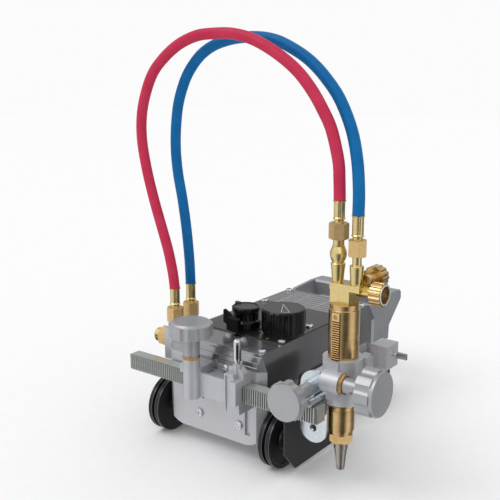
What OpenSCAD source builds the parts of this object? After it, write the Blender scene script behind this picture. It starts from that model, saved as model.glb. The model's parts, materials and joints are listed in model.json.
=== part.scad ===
/* [Body] */
// Width of the chassis tub
body_w = 140; // [130:1:146]
// How far the end plates and the cover stand out past the tub
plate_lip = 5; // [4:0.5:6]
// Distance from the middle to the front and the rear face
body_half = 132; // [130:1:136]
// Thickness of each end plate
plate_t = 8; // [6:0.5:10]
// Ground clearance under the tub
tub_bottom = 22; // [18:1:26]
// Height of the seam between tub and cover
seam_z = 89; // [84:1:92]
// Height where the sloped shoulder begins
shoulder_z = 117; // [114:1:120]
// Height of the flat top
top_z = 137; // [135:1:142]
// How far each long side of the cover leans in
shoulder_in = 7; // [6:0.5:10]
// How far the front shoulder leans in
shoulder_run = 6; // [4:0.5:8]
// Radius of the lower corners
corner_r = 28; // [16:1:30]
// Wall of the tub
wall = 4; // [3:0.5:6]
// Thickness of the control panel plate
panel_t = 1.5; // [1:0.1:2]

/* [Wheels] */
// Radius of the wheels
wheel_r = 36; // [34:0.5:37]
// Gap between an end plate's side and the wheel
wheel_gap = 3.5; // [2:0.5:5]
// Thickness of each steel pole disc
disc_t = 6; // [5:0.5:7]
// Thickness of the magnet ring
magnet_t = 4; // [3:0.5:6]
// Radius of the magnet ring
magnet_r = 31; // [26:0.5:33]
// Distance from the end faces to each axle
axle_inset = 20; // [18:1:24]
// Radius of the axles
axle_r = 6; // [5:0.5:7]

/* [Drive] */
// Teeth of the gear on the front axle
axle_teeth = 20; // [18:1:22]
// Teeth of the motor pinion
pinion_teeth = 14; // [13:1:15]
// Face width of the drive gears
gear_face = 9; // [7:0.5:11]
// Radius of the motor
motor_r = 18; // [15:0.5:19]
// Length of the motor
motor_len = 50; // [40:1:54]

/* [Cross bar] */
// Height of the toothed bar
bar_h = 19; // [18:0.5:20]
// Height of the underside of the bar
bar_z = 85; // [84:0.5:86]
// Depth of the bar without its teeth
bar_d = 15.8; // [15:0.1:16.5]
// Left end of the bar
bar_left = -122; // [-126:1:-110]
// How far the bar reaches past the tilt axis
bar_over = 20.5; // [18:0.5:21]
// Space between the bar and the body
bar_gap = 2; // [1.6:0.1:2.4]
// Teeth of the bar pinion
bar_teeth = 15; // [15:1:15]
// Position of the bar pinion
column_x = -11; // [-14:1:-8]
// Radius of the pinion column
column_r = 10.2; // [10:0.1:10.6]
// Radius of the hand wheel on the column
bar_knob_r = 26; // [20:0.5:26]

/* [Swivel plate] */
// Distance from the heat shield to the tilt axis
swivel_gap = 25; // [24:0.5:26]
// Height of the tilt axis
tilt_z = 117; // [117:0.5:118]
// Half the width of the swivel plate
swivel_r = 17.5; // [17:0.1:17.8]
// Thickness of the swivel plate
swivel_t = 4; // [3:0.1:4.2]
// Distance from the tilt axis to the lower hole
swivel_len = 50; // [44:1:54]
// Radius of the lower hole
swivel_hole_r = 4.5; // [3:0.1:5]
// Radius of the tilt lock knob
tilt_knob_r = 21.5; // [18:0.5:23]

/* [Torch holder] */
// Distance from the tilt axis to the torch axis
torch_out = 25; // [25:0.5:28]
// Outer radius of the torch sleeve
sleeve_r = 22.5; // [20:0.5:23]
// Bottom of the torch sleeve
sleeve_z = 101; // [100:0.5:103]
// Height of the torch sleeve
sleeve_h = 51; // [48:1:56]
// Teeth of the lift pinion
lift_teeth = 22; // [22:1:22]
// Height of the lift pinion
lift_z = 131; // [131:0.5:132]
// Radius of the lift knob
lift_knob_r = 25.5; // [22:0.5:26]

/* [Torch] */
// Radius of the torch barrel
barrel_r = 17; // [16:0.1:17]
// Bottom of the torch barrel
barrel_z = 91; // [90:0.5:92]
// Top of the torch barrel
barrel_top = 207; // [204:1:210]
// Radius of the nozzle nut
nut_r = 14.7; // [14:0.1:15]
// Bottom of the nozzle nut
nut_z = 51; // [48:1:54]
// Length of the nozzle below the nut
nozzle_len = 34; // [28:1:34]
// Radius of the cutting tip at its end
tip_r = 4.8; // [4:0.1:6]
// Height of the valve block
block_h = 22; // [20:1:24]
// Radius of the torch valve knobs
valve_knob_r = 13; // [10:0.5:13]

/* [Gas] */
// Outer diameter of the hoses
hose_d = 13; // [12:0.5:13.5]
// Width across flats of the hose nuts
nut_af = 19; // [17:0.5:19]

/* [Controls] */
// Radius of the speed dial
dial_r = 27.5; // [23:0.5:28]
// Top of the speed dial above the cover
dial_h = 34; // [28:1:36]
// Radius of the selector knob
selector_r = 18; // [14:0.5:18]

/* [Handle] */
// How far the handle stands out behind the body
handle_out = 94; // [88:1:108]
// Thickness of the handle's side plates
handle_t = 5; // [4:0.5:6]

/* [Fit] */
// Radial clearance of a turning shaft
fit = 0.05; // [0.03:0.01:0.08]
// Clearance of a sliding piece
slide = 0.1; // [0.08:0.01:0.15]
// Gap between faces that pass each other
pass = 0.3; // [0.25:0.05:0.4]

/* [Hidden] */
$fn = 64;
e = 0.01;

// Body
plate_w = body_w + 2 * plate_lip;
top_w = plate_w - 2 * shoulder_in;
inner_y = body_half - plate_t;
axle_y = body_half - axle_inset;
wheel_in = plate_w / 2 + wheel_gap;
wheel_t = 2 * disc_t + magnet_t;
bearing_out = body_w / 2 + 2;
handle_y = body_half + handle_out;
// Heat shield beside the right wheels
shield_x = wheel_in + wheel_t + 17.5;
shield_t = 2;
shield_y0 = -body_half - 12;
shield_y1 = shield_y0 + 134;
standoff_at = [[shield_y0 + 84, 72], [shield_y0 + 120, 45]];
// Everything at the torch end keeps its distance from the shield
tilt_x = shield_x + shield_t + swivel_gap;
torch_x = tilt_x + torch_out;
// Drive train: the pinion stands straight above the axle gear
gear_x = 26;
shaft_z = wheel_r + (axle_teeth + pinion_teeth) / 2;
gearbox_w = 30;
motor_y = 42 - axle_y;
motor_z = 62;
// Bar and its pinion, module 1
bar_back = -(body_half + bar_gap);
bar_pitch_y = bar_back - bar_d - 1.2;
bar_r = bar_teeth / 2;
column_y = bar_pitch_y - bar_r;
bar_top = bar_z + bar_h;
bar_right = tilt_x + bar_over;
lock_x = 48;
lock_y = bar_back - bar_d * 0.75;
column_z = 77;
column_top = 126;
// Swivel plate behind the bar end
swivel_back = -(inner_y - 3);
swivel_front = swivel_back - swivel_t;
boss_y = bar_back - 5;
rod_x = tilt_x + 11.6;
rod_z = bar_top + 4.3;
spindle_r = 5;
// Torch axis behind the swivel plate
torch_y = swivel_back + 0.8 + nut_r;
lug_y = swivel_back + pass;
guard_x0 = tilt_x + swivel_r + 1;
guard_x1 = torch_x + 8;
guard_y = torch_y - 24.5;
clamp_y = torch_y + 25.5;
sleeve_top = sleeve_z + sleeve_h;
// Lift rack and pinion, module 0.8
lift_m = 0.8;
lift_r = lift_m * lift_teeth / 2;
rack_pitch_y = torch_y - barrel_r - 0.9;
lift_y = rack_pitch_y - lift_r;
rack_w = 9.5;
housing_r = 12.5;
housing_x1 = torch_x + 15;
lift_knob_x = housing_x1 + 27;
// Torch top
block_z = barrel_top + 6;
block_top = block_z + block_h;
pipe_l_x = torch_x - 9.4;
pipe_r_x = torch_x + 13.6;
red_nut_z = block_top + 47;
red_tail_z = red_nut_z + 18;
red_hose_z = red_tail_z + 24;
blue_nut_z = block_top + 31;
blue_tail_z = blue_nut_z + 18;
blue_hose_z = blue_tail_z + 26;
// Gas manifold on the left side
man_x1 = -plate_w / 2;
man_w = 15;
out_x = man_x1 - 8.5;
out_red_y = torch_y;
out_blue_y = torch_y + 30.5;
man_top = 138;
out_nut_z = man_top + 6;
out_tail_z = out_nut_z + 19;
out_hose_z = out_tail_z + 25;
in_z = 121;
// Control panel plate
panel_x0 = 6 - top_w / 2;
panel_x1 = top_w / 2;
panel_y0 = 50 - body_half;
panel_y1 = body_half - 75;
// Positions of screws: [x, y]
cover_screw_at = [[top_w / 2 - 6.4, 16 - body_half], [6.4 - top_w / 2, 16 - body_half],
    [top_w / 2 - 6, body_half - 15], [6 - top_w / 2, body_half - 11]];
panel_screw_at = [[panel_x0 + 6, panel_y1 - 6], [panel_x1 - 6, panel_y0 + 5],
    [panel_x1 - 11, panel_y0 + 74], [panel_x0 + 6, panel_y0 + 6]];
front_screw_at = [[-21.6, 45], [39.4, 45], [19, 112]];
rear_screw_at = [[-45, 45], [45, 45]];
handle_screw_at = [[-50, 80], [50, 80], [-50, 108], [50, 108]];
// Control positions
dial_at = [top_w / 2 - 24, 85 - body_half];
selector_at = [dial_at[0] - 51, dial_at[1] - 10];
toggle_at = [dial_at[0] - 41, 44 - body_half];
fuse_at = [[dial_at[0] - 38, 22 - body_half], [dial_at[0] - 13.5, 20.5 - body_half]];

// Routes of the two hoses
red_y = torch_y - 0.5;
// Points of each arch: distance from the torch axis, then how far the blue one leans back, z
red_bend = [[-10, 345], [-12, 366], [-21, 397], [-32, 417], [-46, 437], [-65, 457],
    [-91, 475], [-122, 490], [-151, 497], [-179, 498], [-205, 496], [-232, 487],
    [-256, 472], [-275, 454], [-288, 430], [-296, 403], [-297, 372], [-290, 335],
    [-279, 298], [-268, 267], [-257, 236], [-250, 208]];
blue_bend = [[12, 2.5, 336], [6, 7.5, 367], [-5, 13.5, 397], [-22, 17.5, 427],
    [-40, 19.5, 448], [-61, 21.5, 466], [-83, 22.5, 479], [-110, 23.5, 490],
    [-138, 24.5, 494], [-168, 24.5, 493], [-195, 23.5, 487], [-215, 22.5, 477],
    [-231, 22.5, 463], [-244, 22.5, 445], [-256, 23.5, 418], [-262, 24.5, 388],
    [-264, 25.5, 359], [-262, 26.5, 330], [-256, 27.5, 296], [-251, 28.5, 258],
    [-248, 29.5, 219]];
// A wider body stretches both arches
reach = (torch_x - out_x) / 247.5;
red_path = concat([[pipe_l_x, torch_y, red_hose_z]],
    [for (p = red_bend) [torch_x + reach * p[0], red_y, p[1]]],
    [[out_x, out_red_y, out_hose_z]]);
blue_path = concat([[pipe_r_x, torch_y, blue_hose_z]],
    [for (p = blue_bend) [torch_x + reach * p[0], torch_y + p[1], p[2]]],
    [[out_x, out_blue_y, out_hose_z]]);

// ---- Helpers ----

module box(x0, x1, y0, y1, z0, z1)
    translate([x0, y0, z0]) cube([x1 - x0, y1 - y0, z1 - z0]);

// Cylinder along +X from a start point
module rod_x(x, y, z, r, h)
    translate([x, y, z]) rotate([0, 90, 0]) cylinder(r = r, h = h);

// Cylinder along +Y from a start point
module rod_y(x, y, z, r, h)
    translate([x, y, z]) rotate([-90, 0, 0]) cylinder(r = r, h = h);

// Cylinder along +Z from a start point
module rod_z(x, y, z, r, h)
    translate([x, y, z]) cylinder(r = r, h = h);

// A side profile (y, z) drawn out along X
module prism_x(x0, x1, pts)
    translate([x0, 0, 0]) rotate([90, 0, 90]) linear_extrude(x1 - x0) polygon(pts);

// A front profile (x, z) drawn out along Y
module prism_y(y0, y1)
    translate([0, y1, 0]) rotate([90, 0, 0]) linear_extrude(y1 - y0) children();

// End view of the body with round lower corners
module end_outline(w, z0, z1, r) {
    translate([-w / 2, z0 + r]) square([w, z1 - z0 - r]);
    translate([-w / 2 + r, z0]) square([w - 2 * r, r + e]);
    for (s = [-1, 1]) translate([s * (w / 2 - r), z0 + r]) circle(r);
}

// Cross-recess screw standing on z = 0, its shank below
module screw(r, h, shank_r, shank) {
    difference() {
        cylinder(r = r, h = h);
        for (a = [0, 90])
            rotate([0, 0, a]) translate([-r * 0.6, -r * 0.13, h * 0.45])
                cube([r * 1.2, r * 0.26, h]);
    }
    translate([0, 0, -shank]) cylinder(r = shank_r, h = shank);
}

// Involute of the base circle, as an angle in degrees
function inv_deg(a) = tan(a) * 180 / PI - a;

// Half the angle of a tooth at radius r
function tooth_half(n, rp, rb, r, play) =
    90 / n - play / (2 * rp) * 180 / PI + inv_deg(20) - inv_deg(acos(min(1, rb / r)));

// Outline of a spur gear, 20 degrees of pressure angle
function gear_pts(n, m, add, play) = let (
    rp = n * m / 2,
    rb = rp * cos(20),
    ra = rp + add * m,
    r0 = rp - 1.2 * m,
    rs = max(rb, r0),
    steps = 4)
    [for (k = [0 : n - 1]) let (c = k * 360 / n) each concat(
        [let (h = tooth_half(n, rp, rb, rs, play)) r0 * [cos(c - h), sin(c - h)]],
        [for (i = [0 : steps]) let (
            r = rs + 0.01 + (ra - rs - 0.01) * i / steps,
            h = tooth_half(n, rp, rb, r, play)) r * [cos(c - h), sin(c - h)]],
        [for (i = [steps : -1 : 0]) let (
            r = rs + 0.01 + (ra - rs - 0.01) * i / steps,
            h = tooth_half(n, rp, rb, r, play)) r * [cos(c + h), sin(c + h)]],
        [let (h = tooth_half(n, rp, rb, rs, play)) r0 * [cos(c + h), sin(c + h)]])];

module gear(n, m, add, play, face)
    linear_extrude(face) polygon(gear_pts(n, m, add, play));

// Points of a rack's toothed edge from a to b, one tooth centred at c
function rack_pts(a, b, c, m, play) = let (
    p = PI * m,
    k0 = ceil((a + p * 0.55 - c) / p),
    k1 = floor((b - p * 0.55 - c) / p),
    tip = p / 4 - play / 2 - 0.7 * m * tan(20),
    root = p / 4 - play / 2 + 1.2 * m * tan(20))
    [for (k = [k0 : k1]) let (s = c + k * p) each
        [[s - root, 0], [s - tip, 1.9 * m], [s + tip, 1.9 * m], [s + root, 0]]];

// Knob with scallops cut into its rim, axis +Z
module lobed(r, h, n, cut_r, depth)
    difference() {
        cylinder(r = r, h = h);
        for (k = [0 : n - 1])
            rotate([0, 0, (k + 0.5) * 360 / n]) translate([r + cut_r - depth, 0, -1])
                cylinder(r = cut_r, h = h + 2, $fn = 32);
    }

// Tube swept along a route, square to its tangent
function unit(v) = v / norm(v);
function tangent(p, i) =
    i == 0 || i == len(p) - 1 ? [0, 0, i == 0 ? 1 : -1] : unit(p[i + 1] - p[i - 1]);
function ring(p, i, r, n) = let (
    t = tangent(p, i),
    u = unit(cross([0, 1, 0], t)),
    w = cross(t, u))
    [for (k = [0 : n - 1]) p[i] + r * (cos(k * 360 / n) * u + sin(k * 360 / n) * w)];
module hose(p, r, n = 10) {
    m = len(p);
    polyhedron(
        [for (i = [0 : m - 1]) each ring(p, i, r, n)],
        concat(
            [[for (k = [n - 1 : -1 : 0]) k]],
            [for (i = [0 : m - 2], k = [0 : n - 1]) let (k2 = (k + 1) % n)
                each [[i * n + k, i * n + k2, (i + 1) * n + k2],
                      [i * n + k, (i + 1) * n + k2, (i + 1) * n + k]]],
            [[for (k = [0 : n - 1]) (m - 1) * n + k]]));
}

// Hexagon nut on the Z axis, standing on z = 0
module hex_nut(af, h, bore = 0)
    difference() {
        cylinder(r = af / 2 / cos(30), h = h, $fn = 6);
        if (bore > 0) translate([0, 0, -1]) cylinder(r = bore, h = h + 2);
    }

// Nut and ribbed tail that carries a hose, axis Z
module hose_tail(nut_h, tail_h, gap) {
    hex_nut(nut_af, nut_h);
    translate([0, 0, nut_h]) cylinder(r = 7.6, h = gap);
    translate([0, 0, nut_h + gap]) rotate_extrude() polygon([
        [0, 0], [6.6, 0], [7.4, 1.5], [6.4, 3], [6.4, 5], [7.1, 6], [6.2, 7.5],
        [6.2, tail_h - gap], [0, tail_h - gap]]);
}

// ---- Body ----

module chassis_tub() color("silver")
    difference() {
        prism_y(-inner_y, inner_y) end_outline(body_w, tub_bottom, seam_z, corner_r);
        prism_y(-inner_y + wall, inner_y - wall)
            end_outline(body_w - 2 * wall, tub_bottom + wall, seam_z + 1, corner_r - wall);
        for (s = [-1, 1])
            rod_x(-body_w, s * axle_y, wheel_r, axle_r + 3, 2 * body_w);
        for (p = front_screw_at)
            if (p[1] < seam_z - 5) rod_y(p[0], -inner_y - 1, p[1], 2.1, wall + 2);
        for (p = concat(rear_screw_at, handle_screw_at))
            if (p[1] < seam_z - 5) rod_y(p[0], inner_y - wall - 1, p[1], 2.1, wall + 2);
        rod_y(0, inner_y - wall - 1, 50, 9.1, wall + 2);
        box(gear_x - 1, gear_x + gear_face + 1, -axle_y - 12, -axle_y + 12,
            wheel_r - axle_teeth / 2 - 1.5, wheel_r + 12);
    }

module front_plate() color("silver")
    difference() {
        prism_y(-body_half, -inner_y) end_outline(plate_w, tub_bottom, shoulder_z, corner_r);
        box(lock_x, lock_x + 8, -body_half - 1, -body_half + 3, 35, shoulder_z + 1);
        box(-1, 8, -body_half - 1, -body_half + 6, 104, shoulder_z + 1);
        for (s = [0, 1]) mirror([s, 0, 0])
            translate([plate_w / 2 - 10, -body_half, 0]) rotate([0, 0, 38.7])
                translate([-5, -20, 0]) cube([40, 20, 300]);
        for (p = front_screw_at) rod_y(p[0], -body_half - 1, p[1], 2.1, plate_t + 2);
    }

module rear_plate() color("silver")
    difference() {
        prism_y(inner_y, body_half) end_outline(plate_w, tub_bottom, shoulder_z, corner_r);
        for (p = concat(rear_screw_at, handle_screw_at))
            rod_y(p[0], inner_y - 1, p[1], 2.1, plate_t + 2);
        rod_y(0, inner_y - 1, 50, 9.1, plate_t + 2);
    }

module top_cover() color("silver") {
    w = plate_w / 2;
    tw = top_w / 2;
    cw = body_w / 2 - 2;
    difference() {
        intersection() {
            prism_y(-body_half, body_half) polygon([
                [-w, seam_z], [w, seam_z], [w, shoulder_z], [tw, top_z],
                [-tw, top_z], [-w, shoulder_z]]);
            prism_x(-w, w, [
                [-inner_y, seam_z], [inner_y, seam_z], [inner_y, shoulder_z],
                [body_half, shoulder_z], [body_half - 4, top_z],
                [-body_half + shoulder_run, top_z],
                [-body_half + shoulder_run, top_z - 3.5],
                [-body_half + shoulder_run - 1.5, top_z - 4],
                [-body_half + shoulder_run - 2.5, top_z - 10],
                [-body_half + shoulder_run - 4, top_z - 10.5],
                [-body_half + shoulder_run - 4.5, top_z - 15.5],
                [-body_half, top_z - 16], [-body_half, shoulder_z],
                [-inner_y, shoulder_z]]);
        }
        prism_y(-inner_y + 3, inner_y - 3) polygon([
            [-cw, seam_z - 1], [cw, seam_z - 1], [cw, seam_z + 5], [w - 3, seam_z + 5],
            [w - 3, shoulder_z - 1], [tw - 3, top_z - 3], [3 - tw, top_z - 3],
            [3 - w, shoulder_z - 1], [3 - w, seam_z + 5], [-cw, seam_z + 5]]);
        for (s = [0, 1]) mirror([s, 0, 0])
            translate([w - 10, -body_half, shoulder_z]) rotate([0, 0, 38.7])
                rotate([-8, 0, 0]) translate([-20, -20, -1]) cube([60, 20, 40]);
        box(-1, 8, -body_half - 1, -body_half + 6, shoulder_z - 1, 125);
        rod_z(dial_at[0], dial_at[1], top_z - 5, 3.5, 10);
        rod_z(selector_at[0], selector_at[1], top_z - 5, 3.5, 10);
        rod_z(toggle_at[0], toggle_at[1], top_z - 5, 4.5, 10);
        for (p = fuse_at) rod_z(p[0], p[1], top_z - 5, 4.6, 10);
        for (p = concat(cover_screw_at, panel_screw_at))
            rod_z(p[0], p[1], top_z - 5, 1.6, 10);
    }
}

module control_panel() color("dimgray")
    difference() {
        box(panel_x0, panel_x1, panel_y0, panel_y1, top_z, top_z + panel_t);
        rod_z(dial_at[0], dial_at[1], top_z - 1, 3.5, 5);
        rod_z(selector_at[0], selector_at[1], top_z - 1, 3.5, 5);
        for (p = panel_screw_at) rod_z(p[0], p[1], top_z - 1, 1.6, 5);
    }

module cover_screws() color("gainsboro") {
    for (p = cover_screw_at)
        translate([p[0], p[1], top_z]) screw(5, 3.4, 1.5, 2.8);
    for (p = panel_screw_at)
        translate([p[0], p[1], top_z + panel_t]) screw(5, 3.4, 1.5, 4);
}

module plate_screws() color("gainsboro") {
    for (p = front_screw_at)
        translate([p[0], -body_half, p[1]]) rotate([90, 0, 0])
            screw(5.5, 3, 2, plate_t + (p[1] < seam_z - 5 ? wall : 0));
    for (p = rear_screw_at)
        translate([p[0], body_half, p[1]]) rotate([-90, 0, 0])
            screw(5.5, 3, 2, plate_t + wall);
    for (p = handle_screw_at)
        translate([p[0], body_half + handle_t, p[1]]) rotate([-90, 0, 0])
            screw(5.5, 3, 2, plate_t + handle_t);
}

module carry_handle() color("gray") {
    x1 = top_w / 2;
    y1 = body_half + handle_t;
    difference() {
        union() {
            box(-x1, x1, body_half, y1, 71, 115.5);
            for (s = [-1, 1])
                translate([s * (x1 - handle_t / 2), 0, 0])
                    prism_x(-handle_t / 2, handle_t / 2, [
                        [body_half, 71], [handle_y - 36, 71], [handle_y - 35, 91],
                        [handle_y, 124],
                        [handle_y, 134], [handle_y - 4, 138], [handle_y - 36, 139],
                        [body_half + 8, top_z - 1], [body_half, shoulder_z - 2]]);
            prism_x(-x1 + e, x1 - e, [
                [handle_y - 34, 119], [handle_y - 29, 114], [handle_y - 18, 116],
                [handle_y, 127], [handle_y, 134], [handle_y - 4, 138],
                [handle_y - 31, 138.8], [handle_y - 34, 136]]);
        }
        for (p = handle_screw_at) rod_y(p[0], body_half - 1, p[1], 2.1, handle_t + 2);
    }
}

module axle_bearings() color("peru")
    for (s = [-1, 1], t = [-1, 1])
        translate([s * bearing_out, t * axle_y, wheel_r]) rotate([0, -s * 90, 0])
            difference() {
                union() {
                    cylinder(r = axle_r + 4.5, h = 2);
                    cylinder(r = axle_r + 2.95, h = wall + 3);
                }
                translate([0, 0, -1]) cylinder(r = axle_r + fit, h = wall + 5);
            }

// ---- Drive ----

module drive_motor() color("dimgray") {
    rod_x(gear_x - 2 - gearbox_w - motor_len, motor_y, motor_z, motor_r, motor_len);
    rod_x(gear_x - 2 - gearbox_w - motor_len - 5, motor_y, motor_z, 6, 5);
    rod_x(gear_x - 2 - gearbox_w, motor_y, motor_z, 3, 12);
}

module gearhead() color("silver")
    difference() {
        box(gear_x - 2 - gearbox_w, gear_x - 2, -inner_y + wall + 1, motor_y + motor_r,
            shaft_z - 8, seam_z - 2);
        rod_x(gear_x - 3 - gearbox_w, motor_y, motor_z, 3 + slide, 13.2);
        rod_x(gear_x - 2 - gearbox_w / 2, -axle_y, shaft_z, 4 + fit, gearbox_w);
    }

module motor_mount() color("gray") {
    box(gear_x - 2 - gearbox_w, gear_x - 2, 20 - axle_y, motor_y + motor_r,
        tub_bottom + wall, shaft_z - 8);
    box(gear_x - gearbox_w - 36, gear_x - gearbox_w - 24, motor_y - 12, motor_y + 12,
        tub_bottom + wall, motor_z - motor_r + e);
}

module drive_pinion() color("darkgray") {
    translate([gear_x, -axle_y, shaft_z]) rotate([90, 0, 90])
        rotate([0, 0, -90 + 180 / pinion_teeth])
            gear(pinion_teeth, 1, 1, 0.16, gear_face);
    rod_x(gear_x - 14, -axle_y, shaft_z, 4, 14);
}

module axle_gear() color("goldenrod")
    difference() {
        union() {
            translate([gear_x, -axle_y, wheel_r]) rotate([90, 0, 90])
                rotate([0, 0, 90]) gear(axle_teeth, 1, 1, 0.16, gear_face);
            rod_x(gear_x + gear_face, -axle_y, wheel_r, 8, 6);
        }
        rod_x(gear_x - 1, -axle_y, wheel_r, axle_r, gear_face + 8);
    }

module axle(y) color("lightgray") {
    end = wheel_in + wheel_t;
    rod_x(-end, y, wheel_r, axle_r, 2 * end);
    for (s = [0, 1]) mirror([s, 0, 0])
        rod_x(bearing_out + pass, y, wheel_r, axle_r + 4, wheel_in - bearing_out - pass);
    for (s = [0, 1]) mirror([s, 0, 0])
        translate([end, y, wheel_r]) rotate([0, 90, 0]) screw(8, 3, 2, 1);
}
module front_axle() axle(-axle_y);
module rear_axle() axle(axle_y);

// Two pole discs of one wheel; s is the side
module wheel(s, y) color("black")
    mirror([s < 0 ? 1 : 0, 0, 0]) for (x = [wheel_in, wheel_in + disc_t + magnet_t])
        difference() {
            rod_x(x, y, wheel_r, wheel_r, disc_t);
            rod_x(x - 1, y, wheel_r, axle_r, disc_t + 2);
            if (x > wheel_in) difference() {
                rod_x(x + disc_t - 2, y, wheel_r, wheel_r - 5, 4);
                rod_x(x, y, wheel_r, 13, disc_t);
            }
        }
module wheel_front_left() wheel(-1, -axle_y);
module wheel_front_right() wheel(1, -axle_y);
module wheel_rear_left() wheel(-1, axle_y);
module wheel_rear_right() wheel(1, axle_y);

module magnets(y) color("slategray")
    for (s = [0, 1]) mirror([s, 0, 0])
        difference() {
            rod_x(wheel_in + disc_t, y, wheel_r, magnet_r, magnet_t);
            rod_x(wheel_in + disc_t - 1, y, wheel_r, axle_r, magnet_t + 2);
        }
module front_magnets() magnets(-axle_y);
module rear_magnets() magnets(axle_y);

// ---- Electrics and controls ----

module circuit_board() color("green") {
    y1 = inner_y - 34;
    box(-40, 30, y1 - 80, y1, tub_bottom + wall + 6, tub_bottom + wall + 7.6);
    for (x = [-34, 24], y = [y1 - 74, y1 - 6])
        rod_z(x, y, tub_bottom + wall, 3, 6);
    box(-30, -8, y1 - 65, y1 - 35, tub_bottom + wall + 7.6, tub_bottom + wall + 26);
    rod_z(10, y1 - 50, tub_bottom + wall + 7.6, 9, 25);
}

module panel_switches() color("black") {
    deck = top_z + panel_t;
    for (p = [dial_at, selector_at])
        difference() {
            union() {
                rod_z(p[0], p[1], top_z - 18, 11, 15);
                rod_z(p[0], p[1], top_z - 3, 3.4, deck + 1 - top_z + 3);
            }
            rod_z(p[0], p[1], top_z - 14, 2 + fit, 30);
        }
    difference() {
        rod_z(dial_at[0], dial_at[1], deck, dial_r - 3, 3);
        rod_z(dial_at[0], dial_at[1], deck - 1, 3.4, 5);
    }
    difference() {
        rod_z(selector_at[0], selector_at[1], deck, 15, 2);
        rod_z(selector_at[0], selector_at[1], deck - 1, 3.4, 5);
    }
    difference() {
        union() {
            box(toggle_at[0] - 7, toggle_at[0] + 7, toggle_at[1] - 9, toggle_at[1] + 9,
                top_z - 21, top_z - 3);
            rod_z(toggle_at[0], toggle_at[1], top_z - 3, 4.4, 4);
        }
        rod_z(toggle_at[0], toggle_at[1], top_z - 10, 3.2, 20);
    }
    for (p = fuse_at) rod_z(p[0], p[1], top_z - 30, 5.5, 27);
}

module fuse_caps() color("darkgray")
    for (p = fuse_at) {
        translate([p[0], p[1], top_z]) rotate_extrude() polygon([
            [0, 0], [5.9, 0], [5.9, 4.2], [5.4, 6.6], [4.2, 8.6], [2.4, 9.9], [0.8, 10.4],
            [0, 10.4]]);
        rod_z(p[0], p[1], top_z - 3, 4.5, 3 + e);
    }

module speed_dial() color("black") {
    z0 = top_z + panel_t + 3 + pass;
    h = top_z + dial_h - z0;
    translate([dial_at[0], dial_at[1], z0]) difference() {
        union() {
            cylinder(r = dial_r, h = h - 2);
            translate([0, 0, h - 2]) cylinder(r = dial_r - 1.5, h = 2);
        }
        for (k = [0 : 17])
            rotate([0, 0, k * 20 + 10]) translate([dial_r + 1.2, 0, 3])
                cylinder(r = 2, h = h, $fn = 16);
        translate([-1, 0, h - 0.6]) rotate([0, 0, 115])
            translate([4, -0.8, 0]) cube([dial_r - 6, 1.6, 2]);
    }
    rod_z(dial_at[0], dial_at[1], top_z - 13, 2, z0 - top_z + 13 + e);
}

module selector_knob() color("black") {
    z0 = top_z + panel_t + 2 + pass;
    translate([selector_at[0], selector_at[1], z0]) difference() {
        union() {
            rotate_extrude() polygon([
                [0, 0], [selector_r + 1.5, 0], [selector_r + 1.5, 8], [selector_r - 1.5, 10],
                [selector_r - 1.5, 19], [selector_r, 20.5], [selector_r, 25],
                [selector_r - 1, 26], [0, 26]]);
            translate([0, 0, 22]) rotate([0, 0, 165]) translate([selector_r - 6, -2.5, 0])
                cube([8, 5, 5.5]);
        }
        for (k = [0 : 11])
            rotate([0, 0, k * 30]) translate([selector_r, 0, 10.5])
                cylinder(r = 2, h = 8, $fn = 16);
    }
    rod_z(selector_at[0], selector_at[1], top_z - 13, 2, z0 - top_z + 13 + e);
}

module toggle_lever() color("black")
    translate([toggle_at[0], toggle_at[1], top_z - 2]) {
        rod_y(0, -2.2, 0, 2.2, 4.4);
        cylinder(r = 2, h = 10);
        prism_y(-4, 3.5) polygon([
            [-5, 7], [4.5, 7.5], [2.5, 22.5], [1, 23.5], [-13, 24.5], [-14, 23.5], [-14, 8.5]]);
        prism_y(3, 6.5) polygon([
            [-13, 9], [-10, 9], [-10, 22], [-16, 28], [-23, 31.5], [-24.5, 30.5], [-24.5, 15]]);
    }

module power_inlet() color("dimgray") {
    rod_y(0, inner_y - 6, 50, 9, plate_t + 6);
    difference() {
        rod_y(0, body_half, 50, 13, 9);
        rod_y(0, body_half + 2, 50, 10.5, 9);
    }
    for (a = [0 : 120 : 240])
        rod_y(5 * cos(a), body_half + 2, 50 + 5 * sin(a), 1.2, 5);
}

// ---- Bar guide on the front plate ----

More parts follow.
